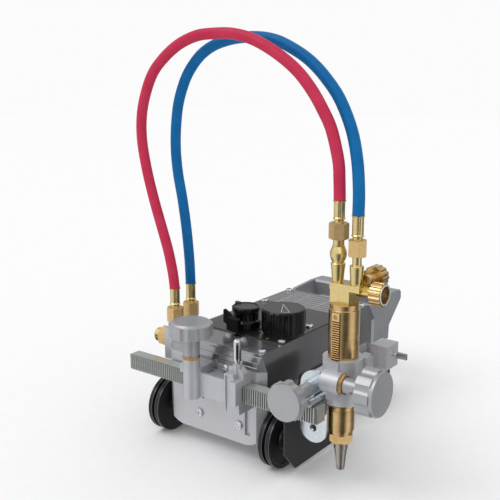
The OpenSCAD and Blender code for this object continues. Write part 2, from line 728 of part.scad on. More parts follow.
module bar_bracket() color("silver") {
    y0 = bar_pitch_y - 9;
    yl = y0 + 3;
    bf = bar_back - bar_d - 1.9 - slide;
    z1 = bar_top + slide;
    z0 = bar_z - slide;
    difference() {
        union() {
            rod_z(column_x, column_y, column_z, column_r, column_top - column_z);
            box(column_x - 3, lock_x - 9, yl + 1.4, bf + e, bar_z - 4, bar_top + 5);
            prism_x(lock_x - 10.5, lock_x + 10.5, [
                [yl, bar_z - 5], [yl, bar_top + 14], [-body_half, bar_top + 14],
                [-body_half, bar_z - 14], [yl + 1.2, bar_z - 14]]);
            box(lock_x + 2, lock_x + 10.5, yl - 6, yl + 1, bar_z - 1, bar_top + 8);
            rod_z(lock_x, lock_y, z1, 5, bar_top + 24 - z1);
            box(column_x - 19, column_x + 10, column_y + 1, -body_half, z1, bar_top + 11);
            box(column_x, lock_x, yl + 2.5, -body_half, z1, bar_top + 4);
            box(column_x - 8, column_x + 14, column_y + 3, -body_half, column_z, z0);
            box(column_x + 4, lock_x - 9, column_y + 3, -body_half, column_z + 3, z0);
            intersection() {
                rod_y(lock_x - 3.5, lock_y - 3, bar_top + 5.5, 15.5, 11);
                box(lock_x - 10.5, lock_x + 30, y0, -body_half, z1, bar_top + 36);
            }
        }
        box(lock_x + 2, lock_x + 12, yl - 1, lock_y - 3, bar_top + 8, bar_top + 30);
        box(lock_x - 9, lock_x + 2, yl - 1, yl + 1.8, bar_z - 20, bar_top + 12);
        box(-80, 120, bf, bar_back + slide, z0, z1);
        rod_z(column_x, column_y, bar_z - 2, bar_r + 1.2, bar_h + 4);
        rod_z(column_x, column_y, column_z - 1, 5 + fit, 60);
        rod_z(column_x, column_y, column_top - 8, 7, 10);
        rod_z(lock_x, lock_y, bar_top, 3 + fit, 40);
        box(column_x + 10, column_x + 19, bf + 1, -body_half - e, z1 - 1, column_top + 4);
        rod_y(front_screw_at[2][0], -body_half - 5, front_screw_at[2][1], 6, 6);
    }
}

module bar_bush() color("peru")
    difference() {
        union() {
            rod_z(column_x, column_y, column_top - 7.9, 6.9, 8);
            translate([column_x, column_y, column_top]) hex_nut(19, 4, 0);
        }
        rod_z(column_x, column_y, column_top - 9, 5 + fit, 20);
    }

module bar_pinion() color("darkgray") {
    translate([column_x, column_y, bar_z - 1]) rotate([0, 0, 90 + 180 / bar_teeth])
        gear(bar_teeth, 1, 0.7, 0.2, bar_h + 2);
    rod_z(column_x, column_y, column_z + 1, 5, column_top + 24 - column_z);
}

module bar_knob() color("silver")
    translate([column_x, column_y, column_top + 4 + pass]) difference() {
        union() {
            cylinder(r = 10.2, h = 26 - pass);
            translate([0, 0, 24]) lobed(bar_knob_r, 15, 8, 10, 1.5);
            translate([0, 0, 39]) cylinder(r1 = bar_knob_r - 2, r2 = bar_knob_r - 5, h = 2.5);
        }
        translate([0, 0, -1]) cylinder(r = 5 + e, h = 22 - pass);
    }

module bar_lock_screw() color("gainsboro")
    translate([lock_x, lock_y, bar_top]) {
        translate([0, 0, pass]) cylinder(r = 3, h = 29);
        difference() {
            translate([0, 0, 28.5]) union() {
                cylinder(r = 4.8, h = 23);
                translate([0, 0, 23]) cylinder(r1 = 4.8, r2 = 3.6, h = 2);
            }
            rotate([0, 0, 37]) translate([-1.3, -6, 31]) cube([2.6, 8, 17.5]);
        }
    }

module cross_bar() color("lightgray") {
    yr = bar_back - bar_d;
    difference() {
        translate([0, 0, bar_z]) linear_extrude(bar_h) polygon(concat(
            [[bar_left, bar_back], [bar_left, yr]],
            [for (p = rack_pts(bar_left, bar_right, column_x, 1, 0.2)) [p[0], yr - p[1]]],
            [[bar_right, yr], [bar_right, bar_back]]));
        for (s = [-1, 1])
            rod_y(tilt_x + s * 9, bar_back - 9, bar_z + bar_h / 2, 2 + e, 10);
    }
}

module swivel_plate() color("gainsboro")
    difference() {
        union() {
            rod_y(tilt_x, swivel_front, tilt_z, swivel_r, swivel_t);
            box(tilt_x - swivel_r, tilt_x + swivel_r, swivel_front, swivel_back,
                tilt_z - swivel_len, tilt_z);
            rod_y(tilt_x, swivel_front, tilt_z - swivel_len, swivel_r, swivel_t);
            box(tilt_x - 14, tilt_x + 14, bar_back, swivel_front + e, bar_z, bar_top - e);
            rod_y(tilt_x, boss_y, tilt_z, 10, swivel_front - boss_y + e);
        }
        rod_y(tilt_x, boss_y - 1, tilt_z, spindle_r + fit, 30);
        rod_y(tilt_x, swivel_front - 1, tilt_z - swivel_len, swivel_hole_r, 10);
        for (s = [-1, 1]) {
            rod_y(tilt_x + s * 9, bar_back - 1, bar_z + bar_h / 2, 2 + e, 20);
            rod_y(tilt_x + s * 9, swivel_back - 3, bar_z + bar_h / 2, 3.6, 10);
        }
        rod_y(rod_x, swivel_front - 1, rod_z, 2 + e, 10);
    }

module bar_screws() color("gainsboro") {
    for (s = [-1, 1]) {
        rod_y(tilt_x + s * 9, bar_back - 8, bar_z + bar_h / 2, 2, swivel_back - bar_back + 5);
        rod_y(tilt_x + s * 9, swivel_back - 3, bar_z + bar_h / 2, 3.5, 2.8);
    }
    rod_y(rod_x, swivel_front, rod_z, 2, swivel_t);
    rod_y(rod_x, swivel_front - 28, rod_z, 4, 28);
}

module tilt_knob() color("silver") {
    y0 = boss_y - 46;
    difference() {
        union() {
            translate([tilt_x, y0 + 14, tilt_z]) rotate([90, 0, 0])
                lobed(tilt_knob_r + 0.5, 11, 8, 8, 2.6);
            rod_y(tilt_x, y0, tilt_z, tilt_knob_r - 1, 4);
            rod_y(tilt_x, y0 + 13, tilt_z, 8, 33 - pass);
        }
        rod_y(tilt_x, y0 + 38, tilt_z, spindle_r, 20);
    }
    rod_y(tilt_x, y0 + 38, tilt_z, spindle_r, -y0 - 38 + swivel_back + 26);
}

// ---- Torch holder ----

module torch_holder() color("silver")
    difference() {
        union() {
            difference() {
                union() {
                    rod_z(torch_x, torch_y, sleeve_z, sleeve_r, sleeve_h);
                    rod_y(tilt_x, lug_y, tilt_z, 15, 28);
                    box(tilt_x, torch_x - 8, lug_y, lug_y + 28, tilt_z - 15, tilt_z + 15);
                }
                box(tilt_x - 40, guard_x0, lug_y - 20, lug_y, 0, 300);
            }
            box(guard_x0, guard_x1, guard_y, torch_y - 10, sleeve_z + 7, sleeve_top);
            box(guard_x0 - 4, guard_x0 + 1, guard_y, lug_y + e,
                tilt_z + swivel_r + 1.5, sleeve_top);
            rod_x(guard_x0, lift_y, lift_z, housing_r, housing_x1 - guard_x0);
            box(torch_x + 13, torch_x + 25, torch_y + 8, clamp_y, sleeve_top - 16, sleeve_top);
        }
        rod_z(torch_x, torch_y, 0, barrel_r + fit, 300);
        box(torch_x - rack_w / 2 - 0.3, torch_x + rack_w / 2 + 0.3, rack_pitch_y - 1.1,
            torch_y - 8, 0, 300);
        rod_x(torch_x - 5.2, lift_y, lift_z, lift_r + 1.2, 40);
        rod_y(tilt_x, lug_y - 1, tilt_z, spindle_r + fit, 27);
    }

module lift_bush() color("peru")
    difference() {
        union() {
            rod_x(torch_x + 5.5, lift_y, lift_z, lift_r + 1.15, housing_x1 - torch_x - 5.5);
            translate([housing_x1, lift_y, lift_z]) rotate([0, 90, 0]) hex_nut(20, 4, 0);
        }
        rod_x(torch_x + 4, lift_y, lift_z, 5 + fit, 30);
    }

module lift_pinion() color("darkgray") {
    translate([torch_x - 5, lift_y, lift_z]) rotate([90, 0, 90])
        rotate([0, 0, 180 / lift_teeth]) gear(lift_teeth, lift_m, 1, 0.2, 10);
    rod_x(torch_x + 5, lift_y, lift_z, 5, lift_knob_x - torch_x - 5);
}

module lift_knob() color("silver")
    difference() {
        union() {
            rod_x(housing_x1 + 4 + pass, lift_y, lift_z, 8.5, lift_knob_x - housing_x1 - 4);
            translate([lift_knob_x, lift_y, lift_z]) rotate([0, 90, 0])
                lobed(lift_knob_r + 0.5, 17, 8, 8, 3);
            rod_x(lift_knob_x + 16, lift_y, lift_z, lift_knob_r - 1.5, 5);
        }
        rod_x(housing_x1, lift_y, lift_z, 5 + e, lift_knob_x - housing_x1);
    }

module clamp_block() color("silver")
    difference() {
        box(torch_x + 20, torch_x + 41, clamp_y, clamp_y + 25, sleeve_top - 16, sleeve_top + 11);
        rod_x(torch_x + 28, clamp_y + 12, sleeve_top, 2.4 + fit, 20);
        box(torch_x + 26, torch_x + 38, clamp_y - 1, clamp_y + 1.5, sleeve_top - 13,
            sleeve_top + 8);
    }

module clamp_lever() color("gainsboro") {
    rod_x(torch_x + 29, clamp_y + 12, sleeve_top, 2.4, 17);
    box(torch_x + 46, torch_x + 58, clamp_y + 10.6, clamp_y + 13.4, sleeve_top - 3.5,
        sleeve_top + 3.5);
}

// ---- Torch ----

module torch_barrel() color("goldenrod")
    difference() {
        union() {
            rod_z(torch_x, torch_y, barrel_z, nut_r - 0.4, 20);
            rod_z(torch_x, torch_y, barrel_z + 5.5, barrel_r, barrel_top - barrel_z - 5.5);
            rod_z(torch_x, torch_y, barrel_top, barrel_r - 1, 6);
        }
        rod_z(torch_x, torch_y, barrel_z - 1, 9, barrel_top - barrel_z - 9);
        box(torch_x - rack_w / 2 - e, torch_x + rack_w / 2 + e, torch_y - 30,
            torch_y - barrel_r + 4, barrel_z + 7, barrel_top - 2);
        rod_z(torch_x - 6, torch_y, barrel_top - 12, 2, 30);
        rod_z(torch_x + 6, torch_y, barrel_top - 12, 2, 30);
    }

module torch_rack() color("goldenrod") {
    z0 = barrel_z + 7;
    z1 = barrel_top - 2;
    yr = rack_pitch_y + 1.2 * lift_m;
    yf = torch_y - barrel_r + 4;
    difference() {
        translate([torch_x - rack_w / 2, 0, 0]) rotate([90, 0, 90]) linear_extrude(rack_w)
            polygon(concat([[yf, z0], [yr, z0]],
                [for (p = rack_pts(z0, z1 - 9, lift_z, lift_m, 0.2)) [yr - p[1], p[0]]],
                [[yr, z1 - 9], [yr - 1.5, z1 - 9], [yr - 1.5, z1], [yf, z1]]));
        rod_y(torch_x, yr - 3, z1 - 4.5, 2.4, 4);
    }
    rod_y(torch_x, yr - 0.8, z1 - 4.5, 2.2, 1.8);
}

module nozzle_nut() color("goldenrod")
    translate([torch_x, torch_y, nut_z]) difference() {
        union() {
            intersection() {
                cylinder(r = nut_r, h = 12, $fn = 6);
                cylinder(r1 = nut_r - 3, r2 = nut_r + 3, h = 6);
            }
            translate([0, 0, 5]) intersection() {
                cylinder(r = nut_r, h = 6, $fn = 6);
                cylinder(r = nut_r + 1, h = 8);
            }
            translate([0, 0, 9]) cylinder(r1 = nut_r - 2.6, r2 = nut_r, h = 8);
            translate([0, 0, 17]) cylinder(r = nut_r, h = barrel_z - nut_z - 17);
        }
        translate([0, 0, -1]) cylinder(r = 8.1, h = 15);
        translate([0, 0, 13.9]) cylinder(r = 10, h = 100);
    }

module nozzle() color("darkgray")
    translate([torch_x, torch_y, nut_z]) rotate_extrude() polygon([
        [1, -nozzle_len], [tip_r - 0.6, -nozzle_len], [tip_r, -nozzle_len + 1],
        [7.2, -9], [7.8, -8], [7.8, -3], [8, -2], [8, 14], [9.9, 14], [9.9, 20],
        [6, 26], [1, 26]]);

module valve_block() color("goldenrod") {
    z1 = block_top;
    difference() {
        union() {
            box(torch_x - 14, torch_x + 9.5, torch_y - 8, torch_y + 16, block_z, z1 - 6);
            box(torch_x - 14.5, torch_x + 22, torch_y - 8.5, torch_y + 9, z1 - 7, z1);
            rod_x(torch_x + 9.5, torch_y + 10, block_z + 13, 6.5, 17.5);
            rod_y(torch_x + 20, torch_y + 8.5, z1 + 3, 6.5, 14.5);
            box(torch_x + 13, torch_x + 22, torch_y + 8.5, torch_y + 14, z1 - 7, z1 + 1);
        }
        rod_x(torch_x + 18, torch_y + 10, block_z + 13, 3 + fit, 20);
        rod_y(torch_x + 20, torch_y + 14, z1 + 3, 3 + fit, 20);
    }
}

// Fluted valve knob with its stem, axis +Z
module valve_knob() {
    translate([0, 0, -8]) cylinder(r = 3, h = 8 + e);
    difference() {
        union() {
            cylinder(r = 7, h = 3);
            translate([0, 0, 2]) lobed(valve_knob_r, 13, 14, 2, 1);
            translate([0, 0, 14]) cylinder(r = valve_knob_r - 1.5, h = 2);
        }
        translate([0, 0, 15]) difference() {
            cylinder(r = valve_knob_r - 4, h = 3);
            translate([0, 0, -1]) cylinder(r = 3.5, h = 5);
        }
    }
}
module valve_knob_oxygen() color("goldenrod")
    translate([torch_x + 27 + pass, torch_y + 10, block_z + 13]) rotate([0, 90, 0])
        valve_knob();
module valve_knob_fuel() color("goldenrod")
    translate([torch_x + 20, torch_y + 23 + pass, block_top + 3]) rotate([-90, 0, 0])
        valve_knob();

module inlet_pipes() color("goldenrod") {
    z1 = block_top;
    translate([pipe_l_x, torch_y, z1]) rotate_extrude() polygon([
        [0, 0], [5, 0], [8, 20], [8, 23], [6, 25], [6, 27], [8.5, 30], [9.3, 34],
        [8.5, 38], [6, 41], [6, red_nut_z - z1], [0, red_nut_z - z1]]);
    translate([pipe_r_x, torch_y, z1]) rotate_extrude() polygon([
        [0, 0], [7.6, 0], [7.6, 21], [6, 23], [6, blue_nut_z - z1],
        [0, blue_nut_z - z1]]);
}

module torch_fittings() color("goldenrod") {
    translate([pipe_l_x, torch_y, red_nut_z]) rotate([0, 0, 30])
        hose_tail(red_tail_z - red_nut_z, red_hose_z - red_tail_z, 3);
    translate([pipe_r_x, torch_y, blue_nut_z])
        hose_tail(blue_tail_z - blue_nut_z, blue_hose_z - blue_tail_z, 3);
}

// ---- Gas supply, hoses and shield ----

module gas_manifold() color("silver")
    difference() {
        box(man_x1 - man_w, man_x1, out_red_y - 14, out_blue_y + 13, 97, man_top);
        for (y = [out_red_y, out_blue_y]) {
            rod_z(out_x, y, in_z, 4, 30);
            rod_x(man_x1 - man_w - 1, y, in_z, 4, 13);
        }
    }

module manifold_fittings() color("goldenrod")
    for (y = [out_red_y, out_blue_y]) {
        rod_z(out_x, y, man_top - 6, 4, 6 + e);
        rod_z(out_x, y, man_top, 8, out_nut_z - man_top);
        translate([out_x, y, out_nut_z])
            hose_tail(out_tail_z - out_nut_z, out_hose_z - out_tail_z, 3);
        translate([man_x1 - man_w, y, in_z]) rotate([0, -90, 0]) {
            translate([0, 0, -6]) cylinder(r = 4, h = 7);
            hex_nut(24, 14, 0);
            difference() {
                translate([0, 0, 14]) cylinder(r = 9.5, h = 9);
                translate([0, 0, 16]) cylinder(r = 4, h = 13);
            }
        }
    }

module red_hose() color("crimson") hose(red_path, hose_d / 2);
module blue_hose() color("royalblue") hose(blue_path, hose_d / 2);

module heat_shield() color("black")
    difference() {
        prism_x(shield_x, shield_x + shield_t, [
            [shield_y0, 33], [shield_y0 + 22, 8], [shield_y1, 8], [shield_y1, 121],
            [shield_y0 + 28, 121], [shield_y0 + 28, bar_z - 5], [shield_y0, bar_z - 5]]);
        for (p = standoff_at) rod_x(shield_x - 2, p[0], p[1], 2.1, 6);
    }

module shield_standoffs() color("gray")
    for (p = standoff_at) {
        rod_x(body_w / 2, p[0], p[1], 5, shield_x - body_w / 2);
        translate([shield_x + shield_t, p[0], p[1]]) rotate([0, 90, 0])
            screw(5, 3, 2, shield_t);
    }

chassis_tub();
front_plate();
rear_plate();
top_cover();
control_panel();
cover_screws();
plate_screws();
carry_handle();
axle_bearings();
drive_motor();
gearhead();
motor_mount();
circuit_board();
panel_switches();
fuse_caps();
bar_bracket();
bar_bush();
heat_shield();
shield_standoffs();
gas_manifold();
manifold_fittings();
power_inlet();
red_hose();
blue_hose();
front_axle();
axle_gear();
wheel_front_left();
wheel_front_right();
front_magnets();
rear_axle();
wheel_rear_left();
wheel_rear_right();
rear_magnets();
drive_pinion();
cross_bar();
swivel_plate();
bar_screws();
bar_pinion();
bar_knob();
bar_lock_screw();
torch_holder();
lift_bush();
clamp_block();
clamp_lever();
torch_barrel();
torch_rack();
nozzle_nut();
nozzle();
valve_block();
inlet_pipes();
torch_fittings();
valve_knob_fuel();
valve_knob_oxygen();
lift_pinion();
lift_knob();
tilt_knob();
speed_dial();
selector_knob();
toggle_lever();
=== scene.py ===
import json
import math

import bmesh
import bpy
from mathutils import Matrix, Vector


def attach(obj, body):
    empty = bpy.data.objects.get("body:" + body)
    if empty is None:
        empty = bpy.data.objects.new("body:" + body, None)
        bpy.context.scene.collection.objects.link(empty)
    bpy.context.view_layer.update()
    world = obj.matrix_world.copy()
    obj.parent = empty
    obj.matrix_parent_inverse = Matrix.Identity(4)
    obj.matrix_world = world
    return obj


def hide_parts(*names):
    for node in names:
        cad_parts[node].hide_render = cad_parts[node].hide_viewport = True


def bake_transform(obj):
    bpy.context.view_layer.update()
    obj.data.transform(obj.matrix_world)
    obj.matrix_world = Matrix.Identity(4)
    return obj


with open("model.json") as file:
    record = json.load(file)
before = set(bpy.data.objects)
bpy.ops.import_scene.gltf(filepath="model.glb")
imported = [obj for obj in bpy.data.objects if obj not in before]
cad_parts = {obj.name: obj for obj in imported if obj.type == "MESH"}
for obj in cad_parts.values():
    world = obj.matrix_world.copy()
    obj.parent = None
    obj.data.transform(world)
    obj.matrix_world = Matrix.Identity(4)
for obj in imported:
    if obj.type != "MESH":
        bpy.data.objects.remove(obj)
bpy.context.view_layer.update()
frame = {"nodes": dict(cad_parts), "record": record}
scene = bpy.context.scene
mm = 0.001


# ---------------------------------------------------------------------------
# Camera
# It stands in front of the right-hand corner, nearly as high as the hoses reach,
# and looks slightly down at the whole carriage.
# ---------------------------------------------------------------------------
camera_data = bpy.data.cameras.new("camera")
camera_data.sensor_width = 36.0
camera_data.lens = 58.22
camera_data.clip_start = 0.05
camera = bpy.data.objects.new("camera", camera_data)
camera.location = (0.58756, -0.83750, 0.46255)
camera.rotation_euler = (math.radians(77.148), 0.0, math.radians(37.005))
scene.collection.objects.link(camera)
scene.camera = camera
scene.view_settings.view_transform = "Standard"


# ---------------------------------------------------------------------------
# Red and blue gas hoses
# Smooth synthetic rubber over a woven braid, 13 mm outside. Each one rises
# from the union block on the left, arches over the body and drops onto the
# torch. It is stiff enough to stand in that arch by itself. The three lengths
# of a hose are one hose, drawn along one line.
# ---------------------------------------------------------------------------
def colour(code):
    """An sRGB hex value as the linear colour that a shader reads."""
    parts = [int(code[i:i + 2], 16) / 255 for i in (1, 3, 5)]
    return [c / 12.92 if c <= 0.04045 else ((c + 0.055) / 1.055) ** 2.4 for c in parts] + [1.0]


def add_node(tree, kind, links=(), **settings):
    """Adds one node: settings are its own values, links go to its sockets by name or place."""
    node = tree.nodes.new(kind)
    for name, value in settings.items():
        setattr(node, name, value)
    for socket, value in dict(links).items():
        if isinstance(value, bpy.types.NodeSocket):
            tree.links.new(value, node.inputs[socket])
        else:
            node.inputs[socket].default_value = value
    return node


def start_material(name, **shader):
    """A material whose own shader carries the values that are the same all over it."""
    material = bpy.data.materials.new(name)
    material.use_nodes = True
    tree = material.node_tree
    surface = tree.nodes["Principled BSDF"]
    for socket, value in shader.items():
        surface.inputs[socket.replace("_", " ")].default_value = value
    return material, tree, surface


def noise(tree, pattern, scale, detail):
    """Noise over a set of coordinates, as the socket of its value."""
    return add_node(tree, "ShaderNodeTexNoise",
                    {"Vector": pattern, "Scale": scale, "Detail": detail}).outputs["Fac"]


def stretched(tree, pattern, scale):
    """Coordinates scaled along X, Y and Z."""
    return add_node(tree, "ShaderNodeMapping",
                    {"Vector": pattern, "Scale": tuple(scale)}).outputs["Vector"]


def mix(tree, factor, a, b, kind="FLOAT"):
    """The value or colour between a and b, as a socket."""
    return add_node(tree, "ShaderNodeMix", {"Factor": factor, "A": a, "B": b},
                    data_type=kind).outputs["Result"]


def two_tones(tree, surface, pattern, deep, pale, low, high):
    """Base colour: deep where the pattern is under low, pale where it is over high."""
    tint = add_node(tree, "ShaderNodeValToRGB", {"Fac": pattern})
    for stop, place, code in zip(tint.color_ramp.elements, (low, high), (deep, pale)):
        stop.position = place
        stop.color = colour(code)
    tree.links.new(tint.outputs["Color"], surface.inputs["Base Color"])


def relief(tree, surface, height, strength, depth):
    """Bump of depth metres."""
    bump = add_node(tree, "ShaderNodeBump",
                    {"Height": height, "Strength": strength, "Distance": depth})
    tree.links.new(bump.outputs["Normal"], surface.inputs["Normal"])


def uneven_gloss(tree, surface, pattern, least, most, low=0.0, high=1.0):
    """Roughness from least to most, as the pattern goes from low to high."""
    gloss = add_node(tree, "ShaderNodeMapRange",
                     {"Value": pattern, "From Min": low, "From Max": high,
                      "To Min": least, "To Max": most})
    tree.links.new(gloss.outputs["Result"], surface.inputs["Roughness"])


def hose_rubber(name, shade, lit):
    """Extruded rubber: an even satin skin with faint die lines along it and a soft mottle."""
    material, tree, surface = start_material(name, IOR=1.52, Specular_IOR_Level=0.14)
    along = add_node(tree, "ShaderNodeUVMap", uv_map="along_hose").outputs["UV"]
    place = add_node(tree, "ShaderNodeTexCoord").outputs["Object"]
    two_tones(tree, surface, noise(tree, place, 45.0, 3.0), shade, lit, 0.3, 0.72)
    lines = noise(tree, stretched(tree, along, (900.0, 14.0, 1.0)), 1.0, 2.0)
    grain = noise(tree, place, 900.0, 2.0)
    relief(tree, surface, mix(tree, 0.45, lines, grain), 0.16, 0.0002)
    uneven_gloss(tree, surface, grain, 0.36, 0.5)
    return material


hose_red = hose_rubber("extruded red rubber", "#BE2A4A", "#C93656")
hose_blue = hose_rubber("extruded blue rubber", "#03609C", "#076DAB")

hose_diameter = 13 * mm
# Millimetres: the torch axis, the pipe of each hose on it, and the outlets on the left
torch_x, torch_y = 164, -105.5
red_pipe_x, blue_pipe_x = torch_x - 9.4, torch_x + 13.6
outlet_x, outlet_hose_z = -83.5, 188
blue_outlet_y = torch_y + 30.5
# Metres of hose from the torch to each cut: just past the top of the arch, above the torch
arch_cut, drop_cut = 0.3, 0.084
# Points of each arch: distance from the torch axis, then how far the blue one leans back, z
red_bend = [(-10, 345), (-12, 366), (-21, 397), (-32, 417), (-46, 437), (-65, 457),
            (-91, 475), (-122, 490), (-151, 497), (-179, 498), (-205, 496), (-232, 487),
            (-256, 472), (-275, 454), (-288, 430), (-296, 403), (-297, 372), (-290, 335),
            (-279, 298), (-268, 267), (-257, 236), (-250, 208)]
blue_bend = [(12, 2.5, 336), (6, 7.5, 367), (-5, 13.5, 397), (-22, 17.5, 427),
             (-40, 19.5, 448), (-61, 21.5, 466), (-83, 22.5, 479), (-110, 23.5, 490),
             (-138, 24.5, 494), (-168, 24.5, 493), (-195, 23.5, 487), (-215, 22.5, 477),
             (-231, 22.5, 463), (-244, 22.5, 445), (-256, 23.5, 418), (-262, 24.5, 388),
             (-264, 25.5, 359), (-262, 26.5, 330), (-256, 27.5, 296), (-251, 28.5, 258),
             (-248, 29.5, 219)]
red_route = ([(red_pipe_x, torch_y, 324)]
             + [(torch_x + x, torch_y - 0.5, z) for x, z in red_bend]
             + [(outlet_x, torch_y, outlet_hose_z)])
blue_route = ([(blue_pipe_x, torch_y, 310)]
              + [(torch_x + x, torch_y + back, z) for x, back, z in blue_bend]
              + [(outlet_x, blue_outlet_y, outlet_hose_z)])


def smooth_route(points, per_span=8):
    """The route in metres from the union block to the torch, rounded between its points."""
    p = [Vector(q) * mm for q in reversed(points)]
    p = [p[0] * 2 - p[1]] + p + [p[-1] * 2 - p[-2]]
    line = []
    for a, b, c, d in zip(p, p[1:], p[2:], p[3:]):
        for k in range(per_span):
            t = k / per_span
            line.append(0.5 * (2 * b + (c - a) * t + (2 * a - 5 * b + 4 * c - d) * t * t
                               + (3 * b - a - 3 * c + d) * t ** 3))
    return line + [p[-2]]


def length_of(line):
    return sum((b - a).length for a, b in zip(line, line[1:]))


def hose_length(name, line, first, last, material):
    """The hose between two places on its line: a ring drawn along it, closed at both ends."""
    bm = bmesh.new()
    sides = 28
    shares = bm.loops.layers.uv.new("along_hose")
    ahead = [(line[min(i + 1, len(line) - 1)] - line[max(i - 1, 0)]).normalized()
             for i in range(len(line))]
    ahead[0] = Vector((0, 0, 1))
    ahead[-1] = Vector((0, 0, -1))
    across = [Vector((0, 1, 0)).cross(t).normalized() for t in ahead]
    frames = [Matrix.Translation(line[i]) @ Matrix((across[i], ahead[i].cross(across[i]),
                                                    ahead[i])).transposed().to_4x4()
              for i in range(len(line))]
    ring = bmesh.ops.create_circle(bm, segments=sides, radius=hose_diameter / 2,
                                   matrix=frames[first])["verts"]
    edges = list({e for v in ring for e in v.link_edges})
    bmesh.ops.contextual_create(bm, geom=edges)
    travelled = 0.0
    for i in range(first + 1, last + 1):
        out = bmesh.ops.extrude_edge_only(bm, edges=edges)["geom"]
        ring = [g for g in out if isinstance(g, bmesh.types.BMVert)]
        edges = [g for g in out if isinstance(g, bmesh.types.BMEdge)
                 and all(v in ring for v in g.verts)]
        bmesh.ops.transform(bm, matrix=frames[i] @ frames[i - 1].inverted(), verts=ring)
        step = (line[i] - line[i - 1]).length
        for face in {f for e in edges for f in e.link_faces}:
            for loop in face.loops:
                local = frames[i].inverted() @ loop.vert.co
                turn = math.atan2(local.y, local.x) / (2 * math.pi)
                end = travelled + (step if loop.vert in ring else 0.0)
                loop[shares].uv = (abs(turn) * math.pi * hose_diameter, end)
        travelled += step
    bmesh.ops.contextual_create(bm, geom=edges)
    bmesh.ops.recalc_face_normals(bm, faces=bm.faces)
    for face in bm.faces:
        face.smooth = len(face.verts) == 4
    for edge in bm.edges:
        edge.smooth = all(len(f.verts) == 4 for f in edge.link_faces)
    mesh = bpy.data.meshes.new(name)
    bm.to_mesh(mesh)
    bm.free()
    mesh.materials.append(material)
    piece = bpy.data.objects.new(name, mesh)
    scene.collection.objects.link(piece)
    return piece


def lay_hose(tone, route, material):
    """One whole hose as three lengths: over the body, down to the holder, onto the torch."""
    line = smooth_route(route)
    top = next(i for i in range(len(line)) if length_of(line[i:]) < arch_cut)
    drop = next(i for i in range(top, len(line)) if length_of(line[i:]) < drop_cut)
    cuts = [(0, top, "chassis", "bar", "over_body"), (top, drop, "bar", "holder", "drop"),
            (drop, len(line) - 1, "holder", "torch", "onto_torch")]
    for first, last, here, there, part in cuts:
        piece = hose_length(tone + "_hose_" + part, line, first, last, material)
        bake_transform(piece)
        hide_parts(tone + "_hose")


lay_hose("red", red_route, hose_red)
lay_hose("blue", blue_route, hose_blue)


# ---------------------------------------------------------------------------
# Floor, world and light
# A flat pale floor under three distant soft lamps: the key from the front left, a
# fill from the right and a weak one from behind. Shiny metal mirrors the cards and
# the dark gaps of the studio, so that round brass gets its stripes.
# ---------------------------------------------------------------------------
def paper(name, tone):
    """Matt studio paper with a faint fibre, so that the floor isn't one flat tone."""
    material, tree, surface = start_material(name, Roughness=0.9, Specular_IOR_Level=0.1)
    place = add_node(tree, "ShaderNodeTexCoord").outputs["Object"]
    tint = mix(tree, noise(tree, place, 60.0, 2.0), colour(tone), colour("#FFFFFF"), "RGBA")
    tree.links.new(tint, surface.inputs["Base Color"])
    return material


floor_half = 6.0
sheet = bmesh.new()
front = sheet.edges.new([sheet.verts.new((x, -floor_half, 0.0))
                         for x in (-floor_half, floor_half)])
bmesh.ops.extrude_edge_only(sheet, edges=[front])
sheet.verts.ensure_lookup_table()
bmesh.ops.translate(sheet, vec=(0, 2 * floor_half, 0), verts=sheet.verts[2:])
bmesh.ops.recalc_face_normals(sheet, faces=sheet.faces)
if sheet.faces[:][0].normal.z < 0:
    bmesh.ops.reverse_faces(sheet, faces=sheet.faces)
floor_mesh = bpy.data.meshes.new("floor")
sheet.to_mesh(floor_mesh)
sheet.free()
floor = bpy.data.objects.new("floor", floor_mesh)
floor_mesh.materials.append(paper("studio paper", "#FAFAFA"))
scene.collection.objects.link(floor)
floor.visible_glossy = False


def lamp(name, direction, softness, power):
    """A distant soft lamp that shines along a direction, so the floor is evenly lit."""
    light = bpy.data.lights.new(name, "SUN")
    light.angle = math.radians(softness)
    light.energy = power
    body = bpy.data.objects.new(name, light)
    body.rotation_euler = Vector(direction).to_track_quat("-Z", "Y").to_euler()
    scene.collection.objects.link(body)


lamp("key", (0.45, 0.55, -0.95), 42.0, 1.05)
lamp("fill", (-0.8, 0.3, -0.6), 70.0, 0.38)
lamp("back", (-0.1, -0.9, -0.5), 60.0, 0.3)

world = bpy.data.worlds.new("studio")
scene.world = world
world.use_nodes = True
air = world.node_tree
air.nodes.clear()
seen = add_node(air, "ShaderNodeLightPath")
where = add_node(air, "ShaderNodeTexCoord")
split = add_node(air, "ShaderNodeSeparateXYZ", {"Vector": where.outputs["Generated"]})
bearing = add_node(air, "ShaderNodeMath", {0: split.outputs["Y"], 1: split.outputs["X"]},
                   operation="ARCTAN2")
turn = add_node(air, "ShaderNodeMapRange", {"Value": bearing.outputs["Value"],
                                            "From Min": -math.pi, "From Max": math.pi})


def cards_round(stops):
    """Light and dark round the studio, at bearings from -180 to 180 degrees as 0 to 1."""
    room = add_node(air, "ShaderNodeValToRGB", {"Fac": turn.outputs["Result"]})
    room.color_ramp.interpolation = "EASE"
    for place, shade in stops:
        if place in (0.0, 1.0):
            stop = room.color_ramp.elements[0 if place == 0.0 else -1]
            stop.position = place
        else:
            stop = room.color_ramp.elements.new(place)
        stop.color = (shade, shade, shade * 1.01, 1.0)
    return room.outputs["Color"]


def above(low, high):
    """0 for what is seen under the height low on the studio's globe, 1 for over high."""
    return add_node(air, "ShaderNodeMapRange", {"Value": split.outputs["Z"], "From Min": low,
                                                "From Max": high}).outputs["Result"]


